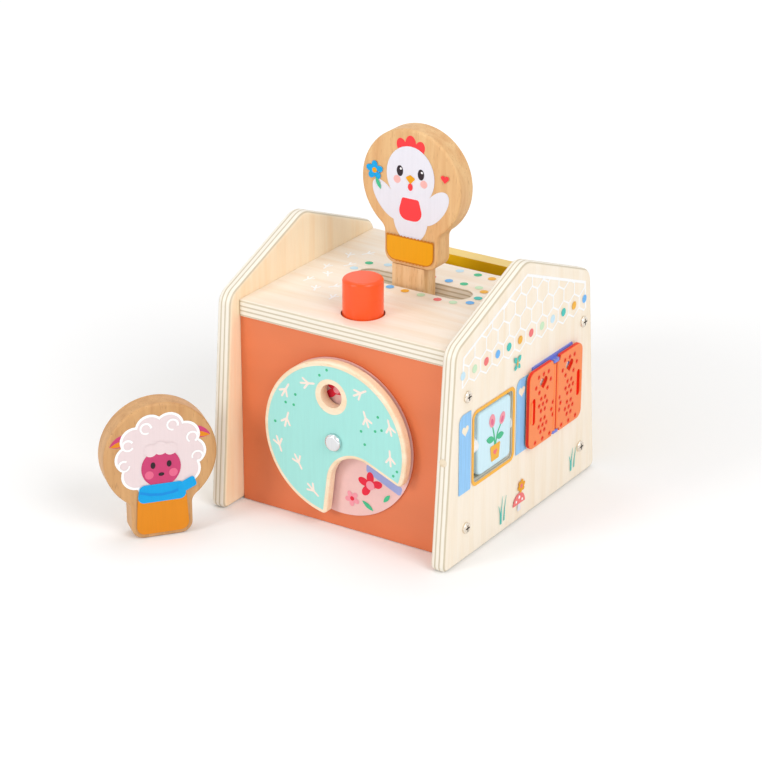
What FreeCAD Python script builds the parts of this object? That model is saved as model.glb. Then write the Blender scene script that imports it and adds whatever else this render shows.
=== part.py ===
import FreeCAD
import Part
import math
import os

# A wooden play house that pops up a flat animal figure. Two gable panels carry a roof deck with
# a slot for the figure and a big push button. Pressing the button tips a latch lever, and two
# springs on guide rods push a lifter up through the slot. A turning disc on the front wall shows
# a picture through its notch, a flip tile spins in the right panel's window, and two small doors
# open beside it. Millimetres, +Z up, +X to the right, +Y to the rear. The origin is the middle
# of the base panel's underside.

Vector = FreeCAD.Vector

# Plywood panels
ply = 9.0
front_ply = 7.5
base_ply = 6.0
panel_edge_round = 2.5
wall_edge_ease = 0.6
deck_edge_round = 1.5
deck_side_ease = 0.4

# House outline
inner_width = 132.0
foot_depth = 161.0
eaves_inset = 10.5
eaves_height = 122.0
ridge_height = 149.5
foot_round = 4.0
eaves_round = 10.0
ridge_round = 14.0
deck_height = 118.0
front_wall_inset = 18.5
rear_wall_inset = 14.0
deck_front_lip = 1.0
deck_rear_lip = 1.5

# Clearances
glue_gap = 0.05
running_gap = 0.05
face_gap = 0.2
seat_gap = 0.3

# Front slot and rear slot in the deck
slot_length = 72.0
slot_width = 16.0
slot_y = 7.5
rear_slot_width = 70.0
rear_slot_depth = 14.9
rear_slot_corner = 3.0
tongue_drop = 0.5

# Screws that hold the gable panels to the two walls
screw_radius = 1.5
screw_length = 28.0
screw_head_radius = 3.2
screw_head_height = 1.6
screw_head_round = 1.0
screw_cross_length = 3.8
screw_cross_width = 0.8
screw_cross_depth = 0.9
screw_low = 19.0
screw_high = 94.0
screw_set_in = 2.5

# Turning disc and the picture plate behind it
disc_height = 54.0
disc_radius = 45.0
disc_thickness = 6.0
disc_edge_round = 1.3
notch_from = -97.2
notch_to = -22.2
notch_point_round = 17.2
notch_rim_round = 2.7
finger_hole_radius = 6.7
finger_hole_x = -1.7
finger_hole_rise = 25.9
plate_radius = 45.0
plate_thickness = 1.2
washer_radius = 6.5
washer_thickness = 1.3
axle_radius = 2.5
axle_head_radius = 5.0
axle_head_height = 2.6
axle_head_round = 1.8
axle_tail = 4.6
nut_flats = 8.0
nut_thickness = 4.0

# Flip tile in the right panel's window
window_side = 39.5
window_corner = 3.0
window_set_back = 29.45
window_height = 61.3
tile_width = 33.0
tile_length = 36.0
tile_corner = 3.5
tile_edge_round = 1.5
tile_axle_radius = 1.5
tile_axle_set_in = 10.0
front_spacer_length = 4.9
spacer_radius = 4.6
plug_radius = 2.2
plug_length = 6.0

# Doors on the right panel
door_set_forward = 38.3
door_foot = 40.4
door_height = 44.8
leaf_reach = 26.8
leaf_thickness = 2.2
leaf_stand_off = 1.2
leaf_corner = 5.0
leaf_edge_round = 0.6
pin_spacing = 3.6
door_pin_radius = 0.6
barrel_radius = 1.3
ear_set_in = 0.6
ear_height = 1.7
ear_side = 1.1
ear_round = 1.0
hinge_notch_floor = 1.5
hinge_notch_mouth = 3.0
heart_reach = 12.2
heart_rise = 36.4
heart_lobe_radius = 2.2
heart_half_spread = 1.9
heart_drop = 4.6
grip_reach = 22.3
grip_rise = 21.7
grip_length = 15.5
grip_width = 3.4
grip_depth = 1.1
grip_lip = 0.8
pit_radius = 0.85
pit_depth = 0.6
pit_ring_radius = 4.1
pit_flower_reach = 12.5
pit_flower_rises = (10.8, 23.1)
frame_thickness = 0.8
frame_width = 43.0
frame_above = 1.1
frame_below = 0.4
frame_border = 4.0
picture_thickness = 0.5

# Push button on its stem
button_set_back = 20.6
button_radius = 11.0
button_hole_radius = 11.85
button_travel = 14.0
button_left_proud = 6.3
button_top_round = 2.0
flange_radius = 14.5
flange_thickness = 3.2
stem_radius = 4.5
stem_set_in = 10.0
guide_shelf_top = 84.0
guide_shelf_thickness = 6.0
guide_flange_drop = 17.0
guide_flange_thickness = 3.0
guide_width = 30.0
guide_overhang = 9.0
button_coil_radius = 6.3
button_wire_radius = 0.6
button_coil_turns = 4

# Latch lever under the stem
pivot_y = 2.0
pivot_height = 14.0
lever_width = 8.0
lever_hub_radius = 5.0
lever_arm_slope = 20.0
lever_arm_depth = 5.0
lever_arm_past_stem = 5.0
latch_pin_radius = 2.0
nose_post_front = -8.5
nose_post_depth = 5.5
nose_lift_gap = 0.7
nose_height = 3.0
nose_reach = 3.7
nose_tip_round = 0.6
lever_round = 1.5
tail_reach = 13.0
tail_waist = 7.0
tail_radius = 6.5
weight_radius = 4.0
weight_length = 16.0
bracket_wall = 5.0
bracket_half_depth = 6.0
bracket_foot = 2.2
bracket_rise = 6.0

# Lifter on two guide rods
lifter_travel = 66.0
lifter_half_length = 46.0
lifter_height = 8.0
lifter_depth = 12.0
lifter_under_deck = 0.5
lifter_lip_half_width = 8.0
lifter_lip_depth = 3.0
lifter_lip_height = 3.0
pad_length = 20.0
pad_rise = 12.0
rod_radius = 2.0
rod_x = 42.0
rod_set_in = 4.0
rod_slide_gap = 0.08
lift_coil_radius = 4.0
lift_wire_radius = 0.5
lift_coil_turns = 6

# Flat figures, cut from one blank outline
figure_head_radius = 31.0
figure_head_height = 46.5
figure_thickness = 13.5
figure_foot_width = 33.5
figure_foot_round = 6.5
figure_neck_round = 6.0
figure_edge_round = 1.5
popup_shift = 2.0
standing_x = -75.3
standing_y = -123.2
standing_turn = 51.6

# Ledge that a figure stored in the rear slot stands on
ledge_top = 60.0
ledge_height = 8.0
ledge_half_length = 42.0

# Derived levels and faces
half_inner = inner_width / 2
half_outer = half_inner + ply
foot_half = foot_depth / 2
eaves_half = foot_half - eaves_inset
front_wall_face = front_wall_inset - foot_half
rear_wall_face = foot_half - rear_wall_inset
deck_underside = deck_height - ply
front_wall_back = front_wall_face + front_ply
rear_wall_front = rear_wall_face - ply
deck_front = front_wall_face - deck_front_lip
deck_rear = rear_wall_face + deck_rear_lip
rear_slot_front = rear_wall_front - rear_slot_depth
button_y = deck_front + button_set_back
window_y = front_wall_face + window_set_back
door_middle_y = rear_wall_face - door_set_forward
plate_front = front_wall_face - plate_thickness
disc_back = plate_front - washer_thickness - face_gap
disc_front = disc_back - disc_thickness
panel_middle = half_inner + ply / 2
pin_x = half_outer + leaf_stand_off + barrel_radius
leaf_back = half_outer + leaf_stand_off
flange_top = deck_underside - seat_gap
flange_bottom = flange_top - flange_thickness
button_top = deck_height + button_left_proud + button_travel
lifter_top = deck_underside - lifter_under_deck
lifter_bottom = lifter_top - lifter_height
lifter_front = slot_y - lifter_depth / 2
pad_top = deck_height + pad_rise
nose_top = lifter_bottom - lifter_travel - nose_lift_gap
nose_underside = nose_top - nose_height

AXES = {
    "X": (Vector(0, 1, 0), Vector(0, 0, 1), Vector(1, 0, 0)),
    "Y": (Vector(1, 0, 0), Vector(0, 0, 1), Vector(0, 1, 0)),
    "Z": (Vector(1, 0, 0), Vector(0, 1, 0), Vector(0, 0, 1)),
}


def at(axis, across, up, along):
    """Point given in the plane square to an axis, and along that axis."""
    first, second, third = AXES[axis]
    return first * across + second * up + third * along


def outline(axis, level, points, radii):
    """Closed flat wire through the points, with each corner rounded by its radius."""
    corners = [at(axis, u, v, level) for u, v in points]
    count = len(corners)
    ends = []
    for index, radius in enumerate(radii):
        corner = corners[index]
        back = (corners[index - 1] - corner).normalize()
        ahead = (corners[(index + 1) % count] - corner).normalize()
        if radius <= 0:
            ends.append((corner, None, corner))
            continue
        half = back.getAngle(ahead) / 2
        reach = radius / math.tan(half)
        inward = (back + ahead).normalize()
        middle = corner + inward * (radius / math.sin(half) - radius)
        ends.append((corner + back * reach, middle, corner + ahead * reach))
    edges = []
    for index, (start, middle, end) in enumerate(ends):
        if middle is not None:
            edges.append(Part.Arc(start, middle, end).toShape())
        following = ends[(index + 1) % count][0]
        if (following - end).Length > 1e-6:
            edges.append(Part.LineSegment(end, following).toShape())
    return Part.Wire(edges)


def plate(axis, start, end, points, radii=None):
    """Flat piece with a rounded outline, between two levels along an axis."""
    if radii is None:
        radii = [0] * len(points)
    face = Part.Face(outline(axis, start, points, radii))
    return face.extrude(AXES[axis][2] * (end - start))


def box(low, high):
    """Rectangular block between two corners."""
    size = [high[i] - low[i] for i in range(3)]
    return Part.makeBox(size[0], size[1], size[2], Vector(*low))


def rod(axis, across, up, start, end, radius):
    """Round bar along an axis, between two levels."""
    return Part.makeCylinder(radius, end - start, at(axis, across, up, start), AXES[axis][2])


def slot(axis, start, end, first, last, radius):
    """Prism with round ends about two points, for a slot."""
    run = (last[0] - first[0], last[1] - first[1])
    length = math.hypot(run[0], run[1])
    side = (-run[1] * radius / length, run[0] * radius / length)
    corners = []
    for point, sign in ((first, -1), (last, -1), (last, 1), (first, 1)):
        corners.append((point[0] + sign * side[0], point[1] + sign * side[1]))
    ends = [rod(axis, u, v, start, end, radius) for u, v in (first, last)]
    return join([plate(axis, start, end, corners)] + ends)


def ring(axis, across, up, start, end, radius, bore):
    """Round bar along an axis with a bore through it."""
    return rod(axis, across, up, start, end, radius).cut(rod(axis, across, up, start, end, bore))


def join(shapes):
    """Single solid made of touching shapes."""
    return shapes[0].fuse(shapes[1:]).removeSplitter()


def edges_at(shape, axis, levels):
    """Edges that lie flat in one of the levels along an axis."""
    along = AXES[axis][2]
    found = []
    for edge in shape.Edges:
        heights = [vertex.Point.dot(along) for vertex in edge.Vertexes]
        heights.append(edge.CenterOfMass.dot(along))
        for level in levels:
            if max(abs(height - level) for height in heights) < 1e-4:
                found.append(edge)
    return found


def edges_along(shape, axis):
    """Straight edges that run along an axis."""
    along = AXES[axis][2]
    found = []
    for edge in shape.Edges:
        if len(edge.Vertexes) != 2:
            continue
        run = edge.Vertexes[1].Point - edge.Vertexes[0].Point
        if run.Length > 1e-6 and abs(abs(run.dot(along)) - run.Length) < 1e-6:
            found.append(edge)
    return found


def coil(x, y, bottom, top, radius, wire, turns):
    """Compression spring: one unbroken round wire on arcs that join smoothly."""
    climb = (top - bottom - 2 * wire) / (2 * math.pi * turns)
    steps = 2 * turns
    knots = []
    for step in range(steps + 1):
        angle = math.pi * step
        across = radius * math.cos(angle)
        away = radius * math.sin(angle)
        point = Vector(x + across, y + away, bottom + wire + climb * angle)
        heading = Vector(-away, across, climb).normalize()
        knots.append((point, heading))
    edges = []
    for (start, leaving), (end, arriving) in zip(knots, knots[1:]):
        chord = end - start
        total = leaving + arriving
        square = 2 * (1 - leaving.dot(arriving))
        linear = 2 * chord.dot(total)
        reach = (math.sqrt(linear * linear + 4 * square * chord.dot(chord)) - linear) / (2 * square)
        first = start + leaving * reach
        second = end - arriving * reach
        joint = (first + second) * 0.5
        for begin, corner, finish in ((start, first, joint), (joint, second, end)):
            half = (begin - corner).getAngle(finish - corner) / 2
            inward = ((begin + finish) * 0.5 - corner).normalize()
            middle = corner + inward * (reach / math.cos(half) - reach * math.tan(half))
            edges.append(Part.Arc(begin, middle, finish).toShape())
    path = Part.Wire(edges)
    section = Part.Wire(Part.makeCircle(wire, knots[0][0], knots[0][1]))
    gap = 2 * math.pi * climb - 2 * wire
    print("spring turns", turns, "gap between turns", round(gap, 2))
    return path.makePipeShell([section], True, False)


# Gable panels
def gable(start):
    """Side panel with a gable top, cut from plywood and sanded round its edge."""
    points = [
        (-foot_half, 0),
        (-eaves_half, eaves_height),
        (0, ridge_height),
        (eaves_half, eaves_height),
        (foot_half, 0),
    ]
    radii = [foot_round, eaves_round, ridge_round, eaves_round, foot_round]
    panel = plate("X", start, start + ply, points, radii)
    return panel.makeFillet(panel_edge_round, edges_at(panel, "X", [start, start + ply]))


def screw_places():
    """Middle of each wall's end grain, low and high."""
    front = front_wall_face + screw_set_in
    rear = rear_wall_face - ply / 2
    return [(y, z) for y in (front, rear) for z in (screw_low, screw_high)]


screw_tip = half_outer - screw_length
screw_holes = []
for hole_y, hole_z in screw_places():
    for side in (-1, 1):
        near = min(side * screw_tip, side * half_outer)
        hole = rod("X", hole_y, hole_z, near, near + screw_length, screw_radius + glue_gap)
        screw_holes.append(hole)

left_side_panel = gable(-half_outer).cut(screw_holes)

window_front = window_y - window_side / 2
window_rear = window_y + window_side / 2
window_low = window_height - window_side / 2
window_high = window_height + window_side / 2
window = plate(
    "X",
    half_inner,
    half_outer,
    [
        (window_front, window_low),
        (window_rear, window_low),
        (window_rear, window_high),
        (window_front, window_high),
    ],
    [window_corner] * 4,
)
panel_front_edge = eaves_inset * window_height / eaves_height - foot_half
plug_rear = panel_front_edge + plug_length
tile_axle_rear = window_rear + tile_axle_set_in
axle_bore_radius = tile_axle_radius + glue_gap
axle_bore = rod("Y", panel_middle, window_height, panel_front_edge - 1, tile_axle_rear, axle_bore_radius)
plug_bore = rod("Y", panel_middle, window_height, panel_front_edge - 1, plug_rear, plug_radius + glue_gap)
right_side_panel = gable(half_inner).cut(screw_holes + [window, axle_bore, plug_bore])

# Walls, deck and base
front_panel = box((-half_inner, front_wall_face, 0), (half_inner, front_wall_back, deck_underside))
front_panel = front_panel.makeFillet(wall_edge_ease, edges_at(front_panel, "Y", [front_wall_face]))
axle_hole = rod("Y", 0, disc_height, front_wall_face, front_wall_back, axle_radius + glue_gap)
front_panel = front_panel.cut([axle_hole] + screw_holes)

tongue_half = rear_slot_width / 2 - seat_gap
tongue_top = deck_height - tongue_drop
rear_panel = plate(
    "Y",
    rear_wall_front,
    rear_wall_face,
    [
        (-half_inner, 0),
        (half_inner, 0),
        (half_inner, deck_underside),
        (tongue_half, deck_underside),
        (tongue_half, tongue_top),
        (-tongue_half, tongue_top),
        (-tongue_half, deck_underside),
        (-half_inner, deck_underside),
    ],
).cut(screw_holes)

half_notch = rear_slot_width / 2
roof_deck = plate(
    "Z",
    deck_underside,
    deck_height,
    [
        (-half_inner, deck_front),
        (half_inner, deck_front),
        (half_inner, deck_rear),
        (half_notch, deck_rear),
        (half_notch, rear_slot_front),
        (-half_notch, rear_slot_front),
        (-half_notch, deck_rear),
        (-half_inner, deck_rear),
    ],
    [0, 0, 0, 0, rear_slot_corner, rear_slot_corner, 0, 0],
)
deck_top_edges = edges_at(roof_deck, "Z", [deck_height])
deck_sides = [edge for edge in deck_top_edges if abs(abs(edge.CenterOfMass.x) - half_inner) < 0.1]
roof_deck = roof_deck.makeFillet(deck_side_ease, deck_sides)
deck_top_edges = edges_at(roof_deck, "Z", [deck_height])
deck_nose = [edge for edge in deck_top_edges if abs(edge.CenterOfMass.y - deck_front) < 0.1]
roof_deck = roof_deck.makeFillet(deck_edge_round, deck_nose)
slot_end = slot_width / 2
slot_middle = slot_length / 2 - slot_end
front_slot = slot("Z", deck_underside, deck_height, (-slot_middle, slot_y), (slot_middle, slot_y), slot_end)
button_hole = rod("Z", 0, button_y, deck_underside, deck_height, button_hole_radius)
deck_sockets = []
base_sockets = []
rod_top = deck_underside + rod_set_in
rod_bottom = base_ply - rod_set_in
for side in (-1, 1):
    socket = rod("Z", side * rod_x, slot_y, deck_underside, rod_top, rod_radius + glue_gap)
    deck_sockets.append(socket)
    base_sockets.append(rod("Z", side * rod_x, slot_y, rod_bottom, base_ply, rod_radius + glue_gap))
roof_deck = roof_deck.cut([front_slot, button_hole] + deck_sockets)

base_panel = box((-half_inner, front_wall_back, 0), (half_inner, rear_wall_front, base_ply))
base_panel = base_panel.cut(base_sockets)

storage_ledge = box(
    (-ledge_half_length, rear_slot_front, ledge_top - ledge_height),
    (ledge_half_length, rear_wall_front, ledge_top),
)


# Screws, two through each gable panel into each wall
def screw(side, y, z):
    """Pan head screw with a cross recess, driven in along X from the given side."""
    head = rod("Z", 0, 0, 0, screw_head_height, screw_head_radius)
    head = head.makeFillet(screw_head_round, edges_at(head, "Z", [screw_head_height]))
    shank = rod("Z", 0, 0, -screw_length, 0, screw_radius)
    half_long = screw_cross_length / 2
    half_wide = screw_cross_width / 2
    low = screw_head_height - screw_cross_depth
    cross = [
        box((-half_long, -half_wide, low), (half_long, half_wide, screw_head_height)),
        box((-half_wide, -half_long, low), (half_wide, half_long, screw_head_height)),
    ]
    piece = join([head, shank]).cut(cross)
    piece.rotate(Vector(), Vector(0, 1, 0), 90 * side)
    piece.translate(Vector(side * half_outer, y, z))
    return piece


left_panel_screws = Part.makeCompound([screw(-1, y, z) for y, z in screw_places()])
right_panel_screws = Part.makeCompound([screw(1, y, z) for y, z in screw_places()])

# Picture plate, disc and their axle
picture_plate = ring("Y", 0, disc_height, plate_front, front_wall_face, plate_radius, axle_radius + glue_gap)
washer_front = plate_front - washer_thickness
disc_washer = ring("Y", 0, disc_height, washer_front, plate_front, washer_radius, axle_radius + glue_gap)


def disc_blank():
    """Disc with a wedge notch that is rounded at its point and at the rim."""
    whole = rod("Y", 0, disc_height, disc_front, disc_back, disc_radius)
    far = 2 * disc_radius
    corners = [(0, disc_height)]
    for angle in (math.radians(notch_from), math.radians(notch_to)):
        corners.append((far * math.cos(angle), disc_height + far * math.sin(angle)))
    blank = whole.cut(plate("Y", disc_front, disc_back, corners, [notch_point_round, 0, 0]))
    rim = []
    for edge in edges_along(blank, "Y"):
        reach = math.hypot(edge.CenterOfMass.x, edge.CenterOfMass.z - disc_height)
        if abs(reach - disc_radius) < 0.01 and edge.CenterOfMass.z < disc_height - 1:
            rim.append(edge)
    blank = blank.makeFillet(notch_rim_round, rim)
    return blank.makeFillet(disc_edge_round, edges_at(blank, "Y", [disc_front, disc_back]))


disc_bore = rod("Y", 0, disc_height, disc_front, disc_back, axle_radius + running_gap)
finger_height = disc_height + finger_hole_rise
finger_hole = rod("Y", finger_hole_x, finger_height, disc_front, disc_back, finger_hole_radius)
reveal_disc = disc_blank().cut([disc_bore, finger_hole])

head_back = disc_front - face_gap
head_front = head_back - axle_head_height
axle_head = rod("Y", 0, disc_height, head_front, head_back, axle_head_radius)
axle_head = axle_head.makeFillet(axle_head_round, edges_at(axle_head, "Y", [head_front]))
axle_shank = rod("Y", 0, disc_height, head_back, front_wall_back + axle_tail, axle_radius)
disc_axle = join([axle_head, axle_shank])
nut_reach = nut_flats / math.sqrt(3)
nut_points = []
for corner in range(6):
    angle = math.radians(60 * corner)
    nut_points.append((nut_reach * math.cos(angle), disc_height + nut_reach * math.sin(angle)))
axle_nut = plate("Y", front_wall_back, front_wall_back + nut_thickness, nut_points)
axle_nut = axle_nut.cut(
    rod("Y", 0, disc_height, front_wall_back, front_wall_back + nut_thickness, axle_radius + glue_gap)
)

# Flip tile on its axle
tile_front = window_front + face_gap * 2 + front_spacer_length
tile_rear = tile_front + tile_width
tile_low = window_height - tile_length / 2
tile_high = window_height + tile_length / 2
flip_tile = plate(
    "X",
    half_inner,
    half_outer,
    [(tile_front, tile_low), (tile_rear, tile_low), (tile_rear, tile_high), (tile_front, tile_high)],
    [tile_corner] * 4,
)
flip_tile = flip_tile.makeFillet(tile_edge_round, edges_at(flip_tile, "X", [half_inner, half_outer]))
flip_tile = flip_tile.cut(
    rod("Y", panel_middle, window_height, tile_front, tile_rear, tile_axle_radius + running_gap)
)
tile_axle = rod("Y", panel_middle, window_height, plug_rear, tile_axle_rear, tile_axle_radius)
axle_plug = rod("Y", panel_middle, window_height, panel_front_edge, plug_rear, plug_radius)
tile_spacers = Part.makeCompound([
    ring("Y", panel_middle, window_height, start + face_gap, end - face_gap, spacer_radius, axle_bore_radius)
    for start, end in ((window_front, tile_front), (tile_rear, window_rear))
])

# Doors: frame, picture, pins and two leaves
door_top = door_foot + door_height
front_pin_y = door_middle_y - pin_spacing / 2
rear_pin_y = door_middle_y + pin_spacing / 2
frame_back = half_outer
frame_face = half_outer + frame_thickness
frame_low = door_foot - frame_below
frame_high = door_top + frame_above
frame_half = frame_width / 2
door_frame = box(
    (frame_back, door_middle_y - frame_half, frame_low),
    (frame_face, door_middle_y + frame_half, frame_high),
)
frame_opening = box(
    (frame_back, door_middle_y - frame_half + frame_border, frame_low + frame_border),
    (frame_face, door_middle_y + frame_half - frame_border, frame_high - frame_border),
)
door_frame = door_frame.cut(frame_opening)
ear_half = pin_spacing / 2 + ear_side
ears = []
low_ear = door_foot + ear_set_in
high_ear = door_top - ear_set_in - ear_height
for ear_low in (low_ear, high_ear):
    ear = box(
        (frame_back, door_middle_y - ear_half, ear_low),
        (pin_x + ear_side, door_middle_y + ear_half, ear_low + ear_height),
    )
    outer = [edge for edge in edges_along(ear, "Z") if edge.CenterOfMass.x > pin_x]
    ears.append(ear.makeFillet(ear_round, outer))
door_frame = join([door_frame] + ears)
pin_low = low_ear
pin_high = high_ear + ear_height
pin_holes = [
    rod("Z", pin_x, y, pin_low, pin_high, door_pin_radius + glue_gap) for y in (front_pin_y, rear_pin_y)
]
door_frame = door_frame.cut(pin_holes)
picture_inset = frame_border + face_gap / 2
door_picture = box(
    (frame_back, door_middle_y - frame_half + picture_inset, frame_low + picture_inset),
    (frame_back + picture_thickness, door_middle_y + frame_half - picture_inset, frame_high - picture_inset),
)
door_pins = Part.makeCompound([
    rod("Z", pin_x, y, pin_low, pin_high, door_pin_radius) for y in (front_pin_y, rear_pin_y)
])


def heart(start, end, y, z):
    """Prism with a heart outline about the height of its lobes, for a cut-out."""
    lobes = [rod("X", y + side * heart_half_spread, z, start, end, heart_lobe_radius) for side in (-1, 1)]
    to_lobe = math.hypot(heart_half_spread, heart_drop)
    tangent = math.sqrt(to_lobe * to_lobe - heart_lobe_radius * heart_lobe_radius)
    lean = math.atan2(heart_drop, heart_half_spread) - math.asin(heart_lobe_radius / to_lobe)
    out = tangent * math.cos(lean)
    rise = tangent * math.sin(lean) - heart_drop
    corners = [
        (y, z - heart_drop),
        (y + out, z + rise),
        (y + heart_half_spread, z),
        (y - heart_half_spread, z),
        (y - out, z + rise),
    ]
    return join(lobes + [plate("X", start, end, corners)])


def pit_places():
    """Reach and rise of the moulded pits: two flowers, a half ring at the hinge and loose ones."""
    places = [(7.1, 40.2), (12.3, 40.4), (17.5, 40.2), (4.7, 34.9), (20.2, 34.9), (8.0, 31.0), (16.7, 31.0)]
    places += [(4.7, 2.8), (12.4, 2.6), (20.1, 2.8), (1.7, 12.8), (3.2, 16.5), (1.7, 20.2)]
    for rise in pit_flower_rises:
        places.append((pit_flower_reach, rise))
        for step in range(6):
            angle = math.radians(60 * step)
            across = pit_ring_radius * math.cos(angle)
            places.append((pit_flower_reach + across, rise + pit_ring_radius * math.sin(angle)))
    return places


def door_leaf(side, pin_y):
    """Moulded leaf with its hinge barrel, heart cut-out, pits and finger grip."""
    face = leaf_back + leaf_thickness
    free = pin_y + side * leaf_reach
    barrel_low = low_ear + ear_height + seat_gap
    barrel_high = high_ear - seat_gap
    floor = pin_y + side * hinge_notch_floor
    mouth = pin_y + side * hinge_notch_mouth
    points = [
        (pin_y, barrel_low),
        (floor, barrel_low),
        (mouth, door_foot),
        (free, door_foot),
        (free, door_top),
        (mouth, door_top),
        (floor, barrel_high),
        (pin_y, barrel_high),
    ]
    leaf = plate("X", leaf_back, face, points, [0, 0, 0, leaf_corner, leaf_corner, 0, 0, 0])
    free_part = leaf_reach / 2
    rim = [edge for edge in edges_at(leaf, "X", [face]) if abs(edge.CenterOfMass.y - pin_y) > free_part]
    leaf = leaf.makeFillet(leaf_edge_round, rim)
    barrel = rod("Z", pin_x, pin_y, barrel_low, barrel_high, barrel_radius)
    grip_y = pin_y + side * grip_reach
    grip_half = grip_width / 2
    grip_low = door_foot + grip_rise - grip_length / 2 + grip_half
    grip_high = grip_low + grip_length - grip_width
    lip = rod("Z", face, grip_y + side * (grip_half + grip_lip), grip_low, grip_high, grip_lip)
    leaf = join([leaf, barrel, lip])
    pocket = slot("X", face - grip_depth, face + grip_lip, (grip_y, grip_low), (grip_y, grip_high), grip_half)
    bore = rod("Z", pin_x, pin_y, barrel_low, barrel_high, door_pin_radius + running_gap)
    cut_out = heart(leaf_back, face, pin_y + side * heart_reach, door_foot + heart_rise)
    pits = []
    for reach, rise in pit_places():
        pits.append(rod("X", pin_y + side * reach, door_foot + rise, face - pit_depth, face, pit_radius))
    return leaf.cut([pocket, bore, cut_out] + pits)


front_door_leaf = door_leaf(-1, front_pin_y)
rear_door_leaf = door_leaf(1, rear_pin_y)

# Push button: cap, flange and stem
button_cap = rod("Z", 0, button_y, flange_top, button_top, button_radius)
button_cap = button_cap.makeFillet(button_top_round, edges_at(button_cap, "Z", [button_top]))
stem_top = flange_top + stem_set_in
button_cap = button_cap.cut(rod("Z", 0, button_y, flange_top, stem_top, stem_radius + glue_gap))
button_flange = ring("Z", 0, button_y, flange_bottom, flange_top, flange_radius, stem_radius + glue_gap)
flange_flat = box(
    (-flange_radius, button_y - flange_radius, flange_bottom),
    (flange_radius, front_wall_back + seat_gap, flange_top),
)
button_flange = button_flange.cut(flange_flat)

arm_slope = math.radians(lever_arm_slope)
stem_reach = pivot_y - button_y
arm_height_at_stem = pivot_height + stem_reach * math.tan(arm_slope)
tip_centre = arm_height_at_stem + stem_radius / math.cos(arm_slope) + seat_gap
button_stem = join([
    rod("Z", 0, button_y, tip_centre, stem_top, stem_radius),
    Part.makeSphere(stem_radius, Vector(0, button_y, tip_centre)),
])

guide_shelf_bottom = guide_shelf_top - guide_shelf_thickness
guide_back = button_y + guide_overhang
guide_half = guide_width / 2
button_guide = join([
    box((-guide_half, front_wall_back, guide_shelf_bottom), (guide_half, guide_back, guide_shelf_top)),
    box(
        (-guide_half, front_wall_back, guide_shelf_top - guide_flange_drop),
        (guide_half, front_wall_back + guide_flange_thickness, guide_shelf_top),
    ),
]).cut(rod("Z", 0, button_y, guide_shelf_bottom, guide_shelf_top, stem_radius + rod_slide_gap))
button_coil_low = guide_shelf_top + face_gap
button_coil_high = flange_bottom - face_gap
button_spring = coil(
    0, button_y, button_coil_low, button_coil_high, button_coil_radius, button_wire_radius, button_coil_turns
)

# Latch lever in its bracket
arm_length = (stem_reach + lever_arm_past_stem) / math.cos(arm_slope)
arm_ahead = (-math.cos(arm_slope), math.sin(arm_slope))
arm_down = (-math.sin(arm_slope), -math.cos(arm_slope))
arm_points = [
    (pivot_y, pivot_height),
    (pivot_y + arm_length * arm_ahead[0], pivot_height + arm_length * arm_ahead[1]),
    (
        pivot_y + arm_length * arm_ahead[0] + lever_arm_depth * arm_down[0],
        pivot_height + arm_length * arm_ahead[1] + lever_arm_depth * arm_down[1],
    ),
    (pivot_y + lever_arm_depth * arm_down[0], pivot_height + lever_arm_depth * arm_down[1]),
]
half_lever = lever_width / 2
nose_post_back = nose_post_front + nose_post_depth
nose_tip = nose_post_back + nose_reach
nose_points = [
    (nose_post_front, pivot_height),
    (pivot_y, pivot_height),
    (nose_post_back, pivot_height + lever_hub_radius),
    (nose_post_back, nose_underside),
    (nose_tip, nose_underside),
    (nose_post_back, nose_top),
    (nose_post_front, nose_top),
]
tail_y = pivot_y + tail_reach
tail_z = base_ply + seat_gap + tail_radius
half_waist = tail_waist / 2
tail_points = [
    (pivot_y, pivot_height - half_waist),
    (tail_y, tail_z - half_waist),
    (tail_y, tail_z + half_waist),
    (pivot_y, pivot_height + half_waist),
]
latch_lever = join([
    rod("X", pivot_y, pivot_height, -half_lever, half_lever, lever_hub_radius),
    plate("X", -half_lever, half_lever, arm_points, [0, 0, lever_round, 0]),
    plate("X", -half_lever, half_lever, nose_points, [0, 0, 0, 0, nose_tip_round, 0, lever_round]),
    plate("X", -half_lever, half_lever, tail_points),
    rod("X", tail_y, tail_z, -half_lever, half_lever, tail_radius),
])
latch_lever = latch_lever.cut([
    rod("X", pivot_y, pivot_height, -half_lever, half_lever, latch_pin_radius + running_gap),
    rod("X", tail_y, tail_z, -half_lever, half_lever, weight_radius + glue_gap),
])
latch_weight = rod("X", tail_y, tail_z, -weight_length / 2, weight_length / 2, weight_radius)

lug_inner = half_lever + seat_gap
lug_outer = lug_inner + bracket_wall
bracket_top = pivot_height + bracket_rise
latch_bracket = box(
    (-lug_outer, pivot_y - bracket_half_depth, base_ply),
    (lug_outer, pivot_y + bracket_half_depth, bracket_top),
)
latch_bracket = latch_bracket.cut([
    box(
        (-lug_inner, pivot_y - bracket_half_depth, base_ply + bracket_foot),
        (lug_inner, pivot_y + bracket_half_depth, bracket_top),
    ),
    rod("X", pivot_y, pivot_height, -lug_outer, lug_outer, latch_pin_radius + glue_gap),
])
latch_pin = rod("X", pivot_y, pivot_height, -lug_outer, lug_outer, latch_pin_radius)

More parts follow.
